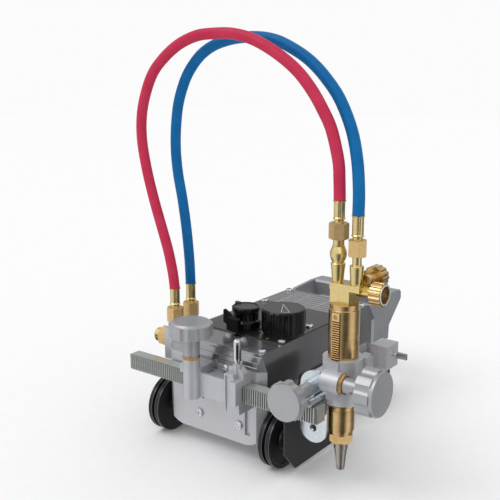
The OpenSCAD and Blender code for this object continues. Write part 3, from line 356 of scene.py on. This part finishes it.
# Low down: one wide card at the front left, a narrow one at the right, the dark of the
# room where the camera stands and behind the right side. Higher up: a wide soft box in
# front, and a dimmer wall behind.
low = cards_round(((0.0, 0.6), (0.06, 0.9), (0.12, 1.0), (0.19, 0.95), (0.25, 0.8),
                   (0.29, 0.4), (0.33, 0.14), (0.385, 0.09), (0.42, 0.22), (0.465, 0.85),
                   (0.51, 1.0), (0.545, 0.92), (0.585, 0.42), (0.62, 0.24), (0.66, 0.17),
                   (0.72, 0.4), (0.80, 0.62), (1.0, 0.6)))
high = cards_round(((0.0, 0.7), (0.15, 0.95), (0.32, 1.0), (0.48, 0.9), (0.58, 0.3),
                    (0.66, 0.16), (0.74, 0.3), (0.82, 0.42), (0.88, 0.46), (1.0, 0.7)))
ceiling_tone, indirect_tone = (0.84, 0.84, 0.86, 1.0), (0.62, 0.62, 0.63, 1.0)
background_tone = (0.965, 0.965, 0.965, 1.0)
walls = mix(air, above(-0.05, 0.06), low, high, "RGBA")
mirrored = mix(air, above(0.35, 0.85), walls, ceiling_tone, "RGBA")
lit_by = mix(air, seen.outputs["Is Glossy Ray"], indirect_tone, mirrored, "RGBA")
open_view = add_node(air, "ShaderNodeMath", {0: seen.outputs["Is Camera Ray"],
                                             1: seen.outputs["Is Transmission Ray"]},
                     operation="MAXIMUM")
sky = mix(air, open_view.outputs["Value"], lit_by, background_tone, "RGBA")
glow = add_node(air, "ShaderNodeBackground", {"Color": sky, "Strength": 1.0})
add_node(air, "ShaderNodeOutputWorld", {"Surface": glow.outputs["Background"]})


# ---------------------------------------------------------------------------
# Body castings: tub, two end plates and the cover
# Die-cast aluminium. The tub and the thick plate at each end have a satin silver
# enamel, and the cover, with sloped shoulders and a grooved front lip, a smooth
# grey one.
# ---------------------------------------------------------------------------
record = frame["record"]
body_of = {node: body for body, nodes in record["behaviour"]["bodies"].items() for node in nodes}


def enamel(name, deep, pale, metallic, rough, peel=0.22):
    """Metallic enamel sprayed on a casting: soft shine, orange peel of 1.5 mm, fine flake."""
    material, tree, surface = start_material(name, Metallic=metallic)
    place = add_node(tree, "ShaderNodeTexCoord").outputs["Object"]
    cloud = noise(tree, place, 22.0, 4.0)
    flake = noise(tree, place, 1500.0, 1.0)
    two_tones(tree, surface, mix(tree, 0.45, cloud, flake), deep, pale, 0.32, 0.68)
    relief(tree, surface, noise(tree, place, 650.0, 2.0), peel, 0.0003)
    uneven_gloss(tree, surface, cloud, rough - 0.04, rough + 0.05, 0.3, 0.7)
    return material


# Corners sharper than this are broken, and creases sharper than this stay sharp
broken_past, sharp_past = math.radians(32.0), math.radians(33.0)


def ease(bm, edge, segments=2, material=-1):
    """Breaks every sharp corner by edge metres."""
    corners = [e for e in bm.edges if len(e.link_faces) == 2
               and e.calc_face_angle(0.0) > broken_past]
    bmesh.ops.bevel(bm, geom=corners, offset=edge, offset_type="OFFSET", segments=segments,
                    profile=0.5, affect="EDGES", clamp_overlap=True, material=material)


def finish(name, bm, node, *materials, instead=True):
    """Makes the bmesh a piece on the node's body, with the given materials: instead of the node, or
    on it.
    """
    bmesh.ops.recalc_face_normals(bm, faces=bm.faces)
    for face in bm.faces:
        face.smooth = True
    for line in bm.edges:
        line.smooth = len(line.link_faces) == 2 and line.calc_face_angle(0.0) < sharp_past
    mesh = bpy.data.meshes.new(name)
    bm.to_mesh(mesh)
    bm.free()
    for material in materials:
        mesh.materials.append(material)
    piece = bpy.data.objects.new(name, mesh)
    scene.collection.objects.link(piece)
    even = piece.modifiers.new("even shading", "WEIGHTED_NORMAL")
    even.keep_sharp = True
    even.weight = 80
    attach(piece, body_of[node])
    if instead:
        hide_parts(node)


def machined(node, *materials, edge=0.0, segments=2):
    """The node's own solid as one clean shell, its corners broken by edge metres. A second
    material goes on the broken corners."""
    bm = bmesh.new()
    bm.from_mesh(frame["nodes"][node].data)
    bmesh.ops.remove_doubles(bm, verts=bm.verts, dist=2e-6)
    bmesh.ops.dissolve_limit(bm, angle_limit=math.radians(0.5), verts=bm.verts,
                             edges=bm.edges, use_dissolve_boundaries=False, delimit=set())
    if edge:
        ease(bm, edge, segments, len(materials) - 1 if len(materials) > 1 else -1)
    finish(node + "_finished", bm, node, *materials)


silver_enamel = enamel("satin silver enamel on cast aluminium", "#B8B8BC", "#C6C6CA", 0.55, 0.42)
smooth_enamel = enamel("smooth grey metallic enamel", "#98999B", "#A3A4A6", 0.85, 0.22,
                       peel=0.04)
machined("chassis_tub", silver_enamel, edge=0.8 * mm)
machined("front_plate", silver_enamel, edge=0.9 * mm)
machined("rear_plate", silver_enamel, edge=0.9 * mm)
machined("top_cover", smooth_enamel, edge=0.7 * mm)


# ---------------------------------------------------------------------------
# Cross bar guide
# One sand-cast bracket on the front plate: a column for the pinion of the hand
# wheel, a channel for the toothed bar, and a lug with the clamping screw. The
# column is lined with a turned bronze bush and the torch holder with a brass one.
# ---------------------------------------------------------------------------
def turned_metal(name, deep, pale, rough, pitch=0.5, axis=2):
    """Metal cut on a lathe: fine rings a fraction of a millimetre apart round the turning axis,
    drawn 0.5 mm or more apart so that they show, over a slow drift in the tone."""
    material, tree, surface = start_material(name, Metallic=1.0)
    place = add_node(tree, "ShaderNodeTexCoord").outputs["Object"]
    scale = [8.0, 8.0, 8.0]
    scale[axis] = 1.0 / (pitch * mm)
    rings = noise(tree, stretched(tree, place, scale), 1.0, 2.0)
    drift = noise(tree, place, 70.0, 3.0)
    two_tones(tree, surface, mix(tree, 0.55, rings, drift), deep, pale, 0.33, 0.66)
    relief(tree, surface, rings, 0.1, 0.0002)
    uneven_gloss(tree, surface, drift, rough - 0.05, rough + 0.07, 0.3, 0.7)
    return material


cast_silver = enamel("rough silver enamel on sand castings", "#B0B1B5", "#C4C5C9", 0.42, 0.4,
                     peel=0.5)
machined("bar_bracket", cast_silver, edge=0.9 * mm, segments=3)
bronze = turned_metal("turned bronze", "#A97C48", "#C99E66", 0.3)
machined("bar_bush", bronze, edge=0.4 * mm)
machined("lift_bush", turned_metal("yellow nut brass", "#B58A52", "#D0A870", 0.26), edge=0.5 * mm)
machined("axle_bearings", bronze, edge=0.3 * mm)


# ---------------------------------------------------------------------------
# Control panel
# A 1.5 mm aluminium plate, brushed along the body and anodised grey, screwed on
# the cover. A plain scale is printed round the speed dial, and a ruled table
# without words on the cover behind the plate.
# ---------------------------------------------------------------------------
def brushed(name, deep, pale, rough, metallic=0.85, along=1):
    """Metal brushed along one axis: hair lines of 0.2 mm, drawn 0.8 mm wide to show."""
    material, tree, surface = start_material(name, Metallic=metallic)
    place = add_node(tree, "ShaderNodeTexCoord").outputs["Object"]
    scale = [1200.0, 1200.0, 1200.0]
    scale[along] = 16.0
    hair = noise(tree, stretched(tree, place, scale), 1.0, 3.0)
    two_tones(tree, surface, hair, deep, pale, 0.3, 0.7)
    uneven_gloss(tree, surface, hair, rough - 0.08, rough + 0.1)
    relief(tree, surface, hair, 0.08, 0.0001)
    return material


def mottled(name, deep, pale, rough, size=3.0, bump=0.05, **shader):
    """An even finish with the faint cloud and grain that any real surface has; size in mm."""
    material, tree, surface = start_material(name, **shader)
    place = add_node(tree, "ShaderNodeTexCoord").outputs["Object"]
    cloud = noise(tree, place, 1.0 / (size * mm), 3.0)
    tint = mix(tree, cloud, colour(deep), colour(pale), "RGBA")
    tree.links.new(tint, surface.inputs["Base Color"])
    uneven_gloss(tree, surface, cloud, rough - 0.06, rough + 0.06)
    relief(tree, surface, noise(tree, place, 1400.0, 2.0), bump, 0.0002)
    return material


machined("control_panel", brushed("brushed grey anodised aluminium", "#5B5753", "#69655F", 0.19),
         edge=0.3 * mm)
screen_ink = mottled("white screen ink", "#C9C6C2", "#EFEDEA", 0.55, size=2.0)
# Millimetres: the two faces that everything on top stands on, and the middles of two knobs
panel_top, cover_top = 138.5, 137
dial_at, selector_at = (44, -47), (-7, -57)


def ink_line(bm, start, end, width, z):
    """A printed line: a strip between two places that stands 0.06 mm proud of height z."""
    a, b = Vector((*start, z)), Vector((*end, z))
    turn_to = Matrix.Rotation(math.atan2(b.y - a.y, b.x - a.x), 4, "Z")
    shape = Matrix.Diagonal(((b - a).length, width, 0.12 * mm, 1.0))
    bmesh.ops.create_cube(bm, size=1.0, matrix=Matrix.Translation((a + b) / 2) @ turn_to @ shape)


# Eleven marks round the dial over 300 degrees, the outer and middle ones longer. The marks
# that would lie past the plate's edge are left out.
mark_start, short_mark, long_mark, mark_width = 28.9 * mm, 31.2 * mm, 32.6 * mm, 0.6 * mm
plate_edge_x = 67 * mm
dial_x, dial_y = (v * mm for v in dial_at)
printed = bmesh.new()
for k in range(11):
    angle = math.radians(265 - 30 * k)
    reach = long_mark if k % 5 == 0 else short_mark
    ray = Vector((math.cos(angle), math.sin(angle)))
    if dial_x + reach * ray.x < plate_edge_x:
        ink_line(printed, (dial_x + mark_start * ray.x, dial_y + mark_start * ray.y),
                 (dial_x + reach * ray.x, dial_y + reach * ray.y), mark_width, panel_top * mm)
finish("dial_scale", printed, "control_panel", screen_ink, instead=False)
ruled = bmesh.new()
table_left, table_right, table_front, table_back = -44 * mm, 50 * mm, 64 * mm, 116 * mm
rule_width, row_count = 0.4 * mm, 6
for k in range(row_count + 1):
    row = table_front + (table_back - table_front) * k / row_count
    ink_line(ruled, (table_left, row), (table_right, row), rule_width, cover_top * mm)
for across in (table_left, -22 * mm, 14 * mm, table_right):
    ink_line(ruled, (across, table_front), (across, table_back), rule_width, cover_top * mm)
finish("ruled_table", ruled, "top_cover", screen_ink, instead=False)


# ---------------------------------------------------------------------------
# Screws
# Bright plated steel pan heads with a cross recess, in two sizes. Each is cut once,
# and then stands on the cover and the panel, or on both end plates and the handle.
# ---------------------------------------------------------------------------
def drawn(bm, place, rings, steps=48):
    """A closed solid drawn through rings round the Z axis of place. A ring is (radius, height)
    in millimetres, or a function that gives them at a bearing."""
    ring = bmesh.ops.create_circle(bm, segments=steps, radius=1.0, matrix=place)["verts"]
    edges = list({e for v in ring for e in v.link_edges})
    bmesh.ops.contextual_create(bm, geom=edges)
    back = place.inverted()
    for number, spot in enumerate(rings):
        if number:
            out = bmesh.ops.extrude_edge_only(bm, edges=edges)["geom"]
            ring = [g for g in out if isinstance(g, bmesh.types.BMVert)]
            edges = [g for g in out if isinstance(g, bmesh.types.BMEdge)
                     and all(v in ring for v in g.verts)]
        for vertex in ring:
            local = back @ vertex.co
            bearing = math.atan2(local.y, local.x)
            radius, height = spot(bearing) if callable(spot) else spot
            vertex.co = place @ Vector((radius * math.cos(bearing) * mm,
                                        radius * math.sin(bearing) * mm, height * mm))
    bmesh.ops.contextual_create(bm, geom=edges)


def pointing(x, y, z, axis="Z"):
    """The place of something at x, y, z in millimetres whose own Z points along axis."""
    turns = {"Z": Matrix(), "X": Matrix.Rotation(math.pi / 2, 4, "Y"),
             "-X": Matrix.Rotation(-math.pi / 2, 4, "Y"),
             "Y": Matrix.Rotation(-math.pi / 2, 4, "X"),
             "-Y": Matrix.Rotation(math.pi / 2, 4, "X")}
    return Matrix.Translation(Vector((x, y, z)) * mm) @ turns[axis]


def block(bm, place, size):
    """A plain block of size in millimetres round the middle of place, for cutting or filing."""
    shape = Matrix.Diagonal((*(v * mm for v in size), 1.0))
    return bmesh.ops.create_cube(bm, size=1.0, matrix=place @ shape)["verts"]


def as_object(name, bm):
    mesh = bpy.data.meshes.new(name)
    bmesh.ops.recalc_face_normals(bm, faces=bm.faces)
    bm.to_mesh(mesh)
    bm.free()
    thing = bpy.data.objects.new(name, mesh)
    scene.collection.objects.link(thing)
    return thing


def cross_head(radius, height):
    """A pan head standing on z = 0, with its cross recess cut by a boolean."""
    bm = bmesh.new()
    drawn(bm, Matrix(), [(radius * 0.94, 0), (radius, height * 0.12), (radius, height * 0.45),
                         (radius * 0.93, height * 0.72), (radius * 0.76, height * 0.9),
                         (radius * 0.5, height * 0.98), (radius * 0.2, height)], steps=40)
    head = as_object("head", bm)
    cross = bmesh.new()
    for turn in (0, math.pi / 2):
        block(cross, pointing(0, 0, height) @ Matrix.Rotation(turn, 4, "Z"),
              (radius * 1.15, radius * 0.26, height))
    cutter = as_object("cutter", cross)
    cut = head.modifiers.new("recess", "BOOLEAN")
    cut.operation = "DIFFERENCE"
    cut.solver = "EXACT"
    cut.use_self = True
    cut.object = cutter
    ready = bpy.data.meshes.new_from_object(
        head.evaluated_get(bpy.context.evaluated_depsgraph_get()))
    for thing in (head, cutter):
        bpy.data.objects.remove(thing)
    return ready


chrome = mottled("bright nickel plate", "#C4C6CA", "#DADCE0", 0.17, size=1.5, Metallic=1.0)


def screws(name, node, head, places):
    """The same head at every place, each turned a little further as a fitter leaves them."""
    bm = bmesh.new()
    for number, place in enumerate(places):
        before = len(bm.verts)
        bm.from_mesh(head)
        bm.verts.ensure_lookup_table()
        bmesh.ops.transform(bm, matrix=place @ Matrix.Rotation(0.7 * number, 4, "Z"),
                            verts=bm.verts[before:])
    finish(name, bm, node, chrome)


cover_head, plate_head = cross_head(5.0, 3.4), cross_head(5.5, 3.0)
screws("cover_screw_heads", "cover_screws", cover_head,
       [pointing(x, y, cover_top)
        for x, y in ((61.6, -116), (-61.6, -116), (62, 117), (-62, 121))]
       + [pointing(x, y, panel_top) for x, y in ((-56, 51), (62, -77), (57, -8), (-56, -76))])
end_face, handle_foot = 132, 137
screws("plate_screw_heads", "plate_screws", plate_head,
       [pointing(x, -end_face, z, "-Y") for x, z in ((-21.6, 45), (39.4, 45), (19, 112))]
       + [pointing(x, end_face, 45, "Y") for x in (-45, 45)]
       + [pointing(x, handle_foot, z, "Y") for x in (-50, 50) for z in (80, 108)])


# ---------------------------------------------------------------------------
# Dial, selector, toggle and fuse caps
# Moulded black phenolic with a high gloss on the fluted sides and a satin top,
# whose lighter grey is a painted reflection. The dial's pointer is a white triangle,
# the toggle is matt, the fuse caps knurled zinc.
# ---------------------------------------------------------------------------
phenolic = mottled("glossy black phenolic", "#09090A", "#0F0F10", 0.14, IOR=1.55,
                   Specular_IOR_Level=0.22, bump=0.02)
# The satin tops are painted a lighter grey as the reflection that they show.
satin_top_painted_reflection = mottled("satin black phenolic painted grey as a reflection", "#3A393A", "#434244", 0.38, bump=0.15)


def fluted(radius, height, count, depth):
    """A ring whose radius dips count times by depth millimetres."""
    return lambda bearing: (radius - depth * max(0.0, math.cos(count * bearing)) ** 3, height)


dial = bmesh.new()
drawn(dial, pointing(*dial_at, 141.8),
      [(26.7, 0), fluted(27.5, 0.7, 18, 0.8), fluted(27.5, 27.0, 18, 0.8), (26.5, 28.4),
       (25.7, 29.1), (24.9, 29.1), (24.7, 28.9)], 288)
finish("dial_body", dial, "speed_dial", phenolic)
dial_face = bmesh.new()
drawn(dial_face, pointing(*dial_at, 170.4), [(24.8, 0), (24.8, 0.45), (24.4, 0.55)], 96)
finish("dial_face", dial_face, "speed_dial", satin_top_painted_reflection, instead=False)
pointer = bmesh.new()
triangle = [(35.5, -35.8), (52.4, -64.5), (61.5, -59.7)]
for start, end in zip(triangle, triangle[1:] + triangle[:1]):
    ink_line(pointer, [v * mm for v in start], [v * mm for v in end], 0.55 * mm, 170.98 * mm)
finish("dial_pointer", pointer, "speed_dial", screen_ink, instead=False)

selector = bmesh.new()
drawn(selector, pointing(*selector_at, 140.8),
      [(18.9, 0), (19.5, 0.6), (19.5, 7.2), (18.6, 8.3), (17.0, 9.2), fluted(16.5, 10, 12, 0.5),
       fluted(16.5, 18.4, 12, 0.5), (17.3, 19.8), (18, 20.8), (18, 22.2), (17.5, 22.6),
       (18, 23.0), (18, 24.8), (17.3, 25.6), (16.2, 26), (15.0, 26), (14.7, 25.2),
       (6, 24.9)], 144)
finish("selector_body", selector, "selector_knob", phenolic)
selector_extras = bmesh.new()
drawn(selector_extras, pointing(*selector_at, 165.5),
      [(14.6, 0), (14.6, 0.4), (5.0, 0.9), (4.0, 0.5)], 72)
block(selector_extras, pointing(*selector_at, 166) @ Matrix.Rotation(math.radians(165), 4, "Z")
      @ Matrix.Translation((16.2 * mm, 0, 0)), (7.6, 4.8, 4.6))
ease(selector_extras, 0.4 * mm)
finish("selector_face", selector_extras, "selector_knob", satin_top_painted_reflection, instead=False)

machined("toggle_lever", mottled("matt black moulding", "#060606", "#0B0B0B", 0.5,
                                 Specular_IOR_Level=0.12), edge=0.4 * mm)
machined("panel_switches", mottled("black switch housing", "#141414", "#1C1C1D", 0.35),
         edge=0.3 * mm)

fuse_zinc = turned_metal("knurled zinc", "#74767A", "#94969A", 0.46, pitch=0.7)
fuses = bmesh.new()
for x, y in ((6, -110), (30.5, -111.5)):
    drawn(fuses, pointing(x, y, cover_top),
          [(5.4, 0), fluted(5.9, 0.5, 24, 0.45), fluted(5.9, 4.2, 24, 0.45), (5.4, 6.6),
           (4.2, 8.6), (2.4, 9.9), (0.8, 10.4)], 192)
finish("fuse_cap_knurled", fuses, "fuse_caps", fuse_zinc)


# ---------------------------------------------------------------------------
# Wheels and axles
# Each wheel is two black-oxide steel discs with a magnet ring between them. Their
# corners are lighter bare steel: partly rubbed bare by the plate that the carriage
# runs on, partly a painted highlight.
# ---------------------------------------------------------------------------
black_oxide = mottled("black oxide on steel", "#121214", "#1C1D1F", 0.38, size=5.0, Metallic=0.3)
# The lighter corners are partly wear and partly a painted highlight.
worn_and_highlit_corner = turned_metal("rim rubbed bare with painted highlight", "#4C4D50", "#7B7D81", 0.35, axis=0)
for wheel in ("wheel_front_left", "wheel_front_right", "wheel_rear_left", "wheel_rear_right"):
    machined(wheel, black_oxide, worn_and_highlit_corner, edge=0.7 * mm)
axle_steel = turned_metal("turned axle steel", "#8C8E93", "#B4B6BB", 0.28, axis=0)
magnet_skin = mottled("nickel on magnet", "#4A4B50", "#66686D", 0.35, Metallic=1.0)
for node in ("front_axle", "rear_axle"):
    machined(node, axle_steel, edge=0.3 * mm)
for node in ("front_magnets", "rear_magnets"):
    machined(node, magnet_skin, edge=0.3 * mm)


# ---------------------------------------------------------------------------
# Cross bar and swivel plate
# The bar is cold-drawn steel with a thin grey oxide and cut teeth, with painted shade
# at their roots. The plate at its end is bright zinc, held by two cap screws.
# ---------------------------------------------------------------------------
def shade_tooth_roots(material, root, tip, tone):
    """Painted shade in the tooth gaps: the tone between Y root and tip, the material's own colour
    past it.
    """
    tree = material.node_tree
    surface = tree.nodes["Principled BSDF"]
    clean = surface.inputs["Base Color"].links[0].from_socket
    place = add_node(tree, "ShaderNodeTexCoord")
    apart = add_node(tree, "ShaderNodeSeparateXYZ", {"Vector": place.outputs["Object"]})
    depth = add_node(tree, "ShaderNodeMapRange", {"Value": apart.outputs["Y"],
                                                  "From Min": root * mm, "From Max": tip * mm})
    shade_edge = add_node(tree, "ShaderNodeMapRange", {"Value": apart.outputs["Y"],
                                                         "From Min": (root + 0.25) * mm,
                                                         "From Max": (root + 0.05) * mm})
    root_shade = add_node(tree, "ShaderNodeMath", {0: shade_edge.outputs["Result"],
                                              1: depth.outputs["Result"]}, operation="SUBTRACT",
                     use_clamp=True)
    tint = mix(tree, root_shade.outputs["Value"], clean, colour(tone), "RGBA")
    tree.links.new(tint, surface.inputs["Base Color"])
    return material


# Painted shade darkens the roots of the bar's teeth.
bar_steel = shade_tooth_roots(brushed("drawn steel with a grey-green oxide", "#B4B8B4", "#CED2CD", 0.3,
                                 metallic=0.75, along=0), -149.8, -151.2, "#6E716C")
machined("cross_bar", bar_steel, edge=0.15 * mm, segments=1)
zinc = mottled("bright zinc plate", "#C2CAD0", "#DDE3E7", 0.24, size=6.0, Metallic=0.9)
machined("swivel_plate", zinc, edge=0.4 * mm)
machined("bar_screws", zinc, edge=0.5 * mm)
machined("bar_lock_screw", chrome, edge=0.5 * mm)
# A dark block in the slot of the lock screw is painted shade, standing for the shade inside the
# slot.
slot_shade = bmesh.new()
block(slot_shade, pointing(48, -145.85, 143.75) @ Matrix.Rotation(math.radians(37), 4, "Z"),
      (2.58, 3.2, 17.4))
dark_steel_and_slot_shade = mottled("black steel and painted slot shade", "#15130F", "#24211C", 0.55, size=1.0)
finish("lock_slot_painted_shade", slot_shade, "bar_lock_screw", dark_steel_and_slot_shade, instead=False)


# ---------------------------------------------------------------------------
# Hand wheels
# Three lobed knobs, die-cast and sprayed silver: the bar wheel on its column, the
# lift knob with its dark set screw, and the tilt lock. Their pinions are plain steel.
# ---------------------------------------------------------------------------
knob_enamel = enamel("bright silver enamel on knobs", "#9C9DA0", "#ABACAF", 0.42, 0.33, peel=0.12)
machined("bar_knob", knob_enamel, edge=1.2 * mm, segments=3)
machined("lift_knob", knob_enamel, edge=1.2 * mm, segments=3)
machined("tilt_knob", knob_enamel, edge=1.1 * mm, segments=3)
# The same dark material is the set screw's own black steel.
set_screw = bmesh.new()
drawn(set_screw, pointing(195, -132.2, 131) @ Matrix.Rotation(math.radians(118), 4, "X"),
      [(1.9, 7.9), (1.9, 8.62), (1.3, 8.62), (1.2, 8.3)], 24)
finish("lift_knob_set_screw", set_screw, "lift_knob", dark_steel_and_slot_shade, instead=False)
for node in ("bar_pinion", "lift_pinion", "drive_pinion"):
    machined(node, axle_steel)


# ---------------------------------------------------------------------------
# Torch holder and clamp
# A rough sand casting round the torch with the housing of the lift pinion, and a
# square clamp block behind it with a small plated lever.
# ---------------------------------------------------------------------------
machined("torch_holder", cast_silver, edge=1.0 * mm, segments=3)
machined("clamp_block", cast_silver, edge=0.6 * mm)
machined("clamp_lever", chrome, edge=0.6 * mm)


# ---------------------------------------------------------------------------
# Torch
# A turned brass barrel with a brass rack let into its front, a nickel-plated
# cutting nozzle under a turned nut, and a bright brass valve block on top, whose
# two knobs carry a pale green ring round worn copper.
# ---------------------------------------------------------------------------
turned_brass = turned_metal("turned brass", "#BE9C68", "#D8BA88", 0.2, pitch=0.8)
bright_brass = mottled("bright dipped brass", "#D2BC7E", "#E4D29A", 0.24, size=5.0, Metallic=1.0)
nut_brass = mottled("warm nut brass", "#C7A36A", "#DEC08C", 0.36, size=4.0, Metallic=0.75)
machined("torch_barrel", turned_brass, edge=0.4 * mm)
# Painted shade darkens the roots of the rack's teeth.
rack_brass = shade_tooth_roots(turned_metal("milled brass", "#C9A670", "#E2C592", 0.24, pitch=0.8),
                          -122.4, -124.0, "#6B4E24")
machined("torch_rack", rack_brass, edge=0.1 * mm, segments=1)
machined("nozzle_nut", turned_brass, edge=0.5 * mm)
machined("nozzle", turned_metal("nickel on copper", "#8D8680", "#B2ABA4", 0.3, pitch=0.6),
         edge=0.25 * mm)
machined("valve_block", bright_brass, edge=0.7 * mm, segments=3)
for node in ("valve_knob_fuel", "valve_knob_oxygen"):
    machined(node, turned_brass, edge=0.5 * mm)
machined("axle_gear", bright_brass)

pipes = bmesh.new()
drawn(pipes, pointing(red_pipe_x, torch_y, 235),
      [(6.2, -1), (6.3, 1), (6.8, 8), (7.6, 16), (8.0, 19.5), (8.0, 20.6), (7.4, 21.2), (6.4, 21.4),
       (6.4, 22.6), (7.6, 24), (8.8, 27), (9.3, 30.5), (8.9, 34), (7.8, 37), (6.9, 38.6),
       (6.9, 40), (6.2, 40.4), (6.2, 47.5)], 64)
drawn(pipes, pointing(blue_pipe_x, torch_y, 235),
      [(6.6, -1), (6.8, 2), (7.0, 9), (7.5, 17), (7.6, 20), (7.2, 20.9), (5.4, 21.4),
       (5.0, 22.2), (5.0, 31.5)], 64)
finish("inlet_pipes_turned", pipes, "inlet_pipes", bright_brass)

ring_green = mottled("pale green enamel", "#9FC4B4", "#B5D6C8", 0.4, size=2.0)
worn_copper = mottled("worn copper", "#6E4526", "#8E6238", 0.35, size=1.2, Metallic=1.0)
for node, place in (("valve_knob_oxygen", pointing(torch_x + 27.3, torch_y + 10, 226, "X")),
                    ("valve_knob_fuel", pointing(torch_x + 20, torch_y + 23.3, 238, "Y"))):
    ring = bmesh.new()
    drawn(ring, place, [(9.3, 14.6), (11.4, 15.9), (11.3, 16.25), (10.1, 16.3), (9.9, 15.9),
                        (9.1, 14.5)], 64)
    finish(node + "_ring", ring, node, ring_green, instead=False)
    middle = bmesh.new()
    drawn(middle, place, [(9.0, 14.4), (9.0, 15.3), (7.4, 15.5), (5.6, 15.3), (4.8, 16.0),
                          (4.2, 16.4), (3.0, 16.4), (2.6, 15.2)], 48)
    finish(node + "_middle", middle, node, worn_copper, instead=False)


# ---------------------------------------------------------------------------
# Hose nuts and ferrules
# Brass hexagon nuts with turned-off corners. Each hose end is crimped in a
# ferrule with a bead, lengthwise crimp marks and a flared lip.
# ---------------------------------------------------------------------------
def hexagon(flats, low, high):
    """Rings of a nut from low to high, its corners turned off at both ends."""
    def reach(bearing):
        return flats / 2 / math.cos(bearing % (math.pi / 3) - math.pi / 6)
    start = flats / 2 * 0.97
    return [(start, low), lambda b: (reach(b), low + (reach(b) - start) * 0.55),
            lambda b: (reach(b), high - (reach(b) - start) * 0.55), (start, high)]


def ferrule(bm, place, low, high):
    """The crimped end of a hose, from its neck above the nut to the lip on the rubber."""
    crimped = fluted(6.15, 0, 8, 0.3)
    drawn(bm, place, [(5.2, low), (5.2, low + 3.2), (5.8, low + 3.6), (6.7, low + 4.4),
                      (6.8, low + 5.2), (6.3, low + 5.9), (6.0, low + 6.3),
                      lambda b: (crimped(b)[0], low + 7.2), lambda b: (crimped(b)[0], high - 2.6),
                      (6.3, high - 1.8), (7.1, high - 0.8), (7.15, high - 0.2), (6.6, high)], 96)


def hose_end(bm_nut, bm_tail, place, nut, tail):
    drawn(bm_nut, place, hexagon(19, 0, nut), 96)
    ferrule(bm_tail, place, nut - 0.5, tail)


torch_nuts, torch_tails = bmesh.new(), bmesh.new()
hose_end(torch_nuts, torch_tails,
         pointing(red_pipe_x, torch_y, 282) @ Matrix.Rotation(math.radians(30), 4, "Z"), 18, 42)
hose_end(torch_nuts, torch_tails, pointing(blue_pipe_x, torch_y, 266), 18, 44)
finish("torch_nuts", torch_nuts, "torch_fittings", nut_brass)
finish("torch_ferrules", torch_tails, "torch_fittings", bright_brass)
outlet_nuts, outlet_tails = bmesh.new(), bmesh.new()
for y in (torch_y, blue_outlet_y):
    hose_end(outlet_nuts, outlet_tails, pointing(outlet_x, y, 144), 19, 44)
    drawn(outlet_nuts, pointing(outlet_x, y, 137.6), [(8.4, 0), (8.6, 0.6), (7.6, 1.4), (7.6, 7)])
    union = pointing(-90, y, 121, "-X")
    drawn(outlet_nuts, union, hexagon(24, -0.2, 14), 96)
    thread = [(9.5 - 0.55 * (k % 2), 14.4 + 0.75 * k) for k in range(10)]
    drawn(outlet_tails, union, [(8.4, 13.4)] + thread + [(9.4, 21.6), (8.8, 22.9), (4.6, 23),
                                                        (4.1, 22.5), (4.0, 15)], 64)
finish("outlet_nuts", outlet_nuts, "manifold_fittings", nut_brass)
finish("outlet_ferrules", outlet_tails, "manifold_fittings", bright_brass)
machined("gas_manifold", cast_silver, edge=1.0 * mm)


# ---------------------------------------------------------------------------
# Heat shield, carrying handle and power inlet
# The shield is 2 mm steel sprayed satin black on two posts. The handle has a foot
# plate, two side plates and a grip in grey enamel. The inlet is a moulded
# three-pin socket.
# ---------------------------------------------------------------------------
machined("heat_shield", enamel("satin black heat-proof enamel", "#252628", "#2E2F31", 0.15, 0.42,
                               peel=0.3), edge=0.4 * mm)
machined("shield_standoffs", axle_steel, edge=0.4 * mm)
handle_grey = enamel("grey enamel on the handle", "#929397", "#9FA0A4", 0.4, 0.4)
machined("carry_handle", handle_grey, edge=1.3 * mm, segments=3)
machined("power_inlet", mottled("black moulded socket", "#161617", "#1F1F21", 0.45), edge=0.5 * mm)


# ---------------------------------------------------------------------------
# Drive and electronics inside the tub
# A zinc-plated motor on its gearhead and bracket, and one green board: hidden by
# the cover, but finished for views apart.
# ---------------------------------------------------------------------------
machined("drive_motor", mottled("dark zinc on the motor can", "#5C5E62", "#74767B", 0.32,
                                Metallic=0.9), edge=0.5 * mm)
machined("gearhead", silver_enamel, edge=0.5 * mm)
machined("motor_mount", handle_grey, edge=0.5 * mm)
machined("circuit_board", mottled("green solder mask", "#0E4A2B", "#14613A", 0.3, size=1.2),
         edge=0.15 * mm)
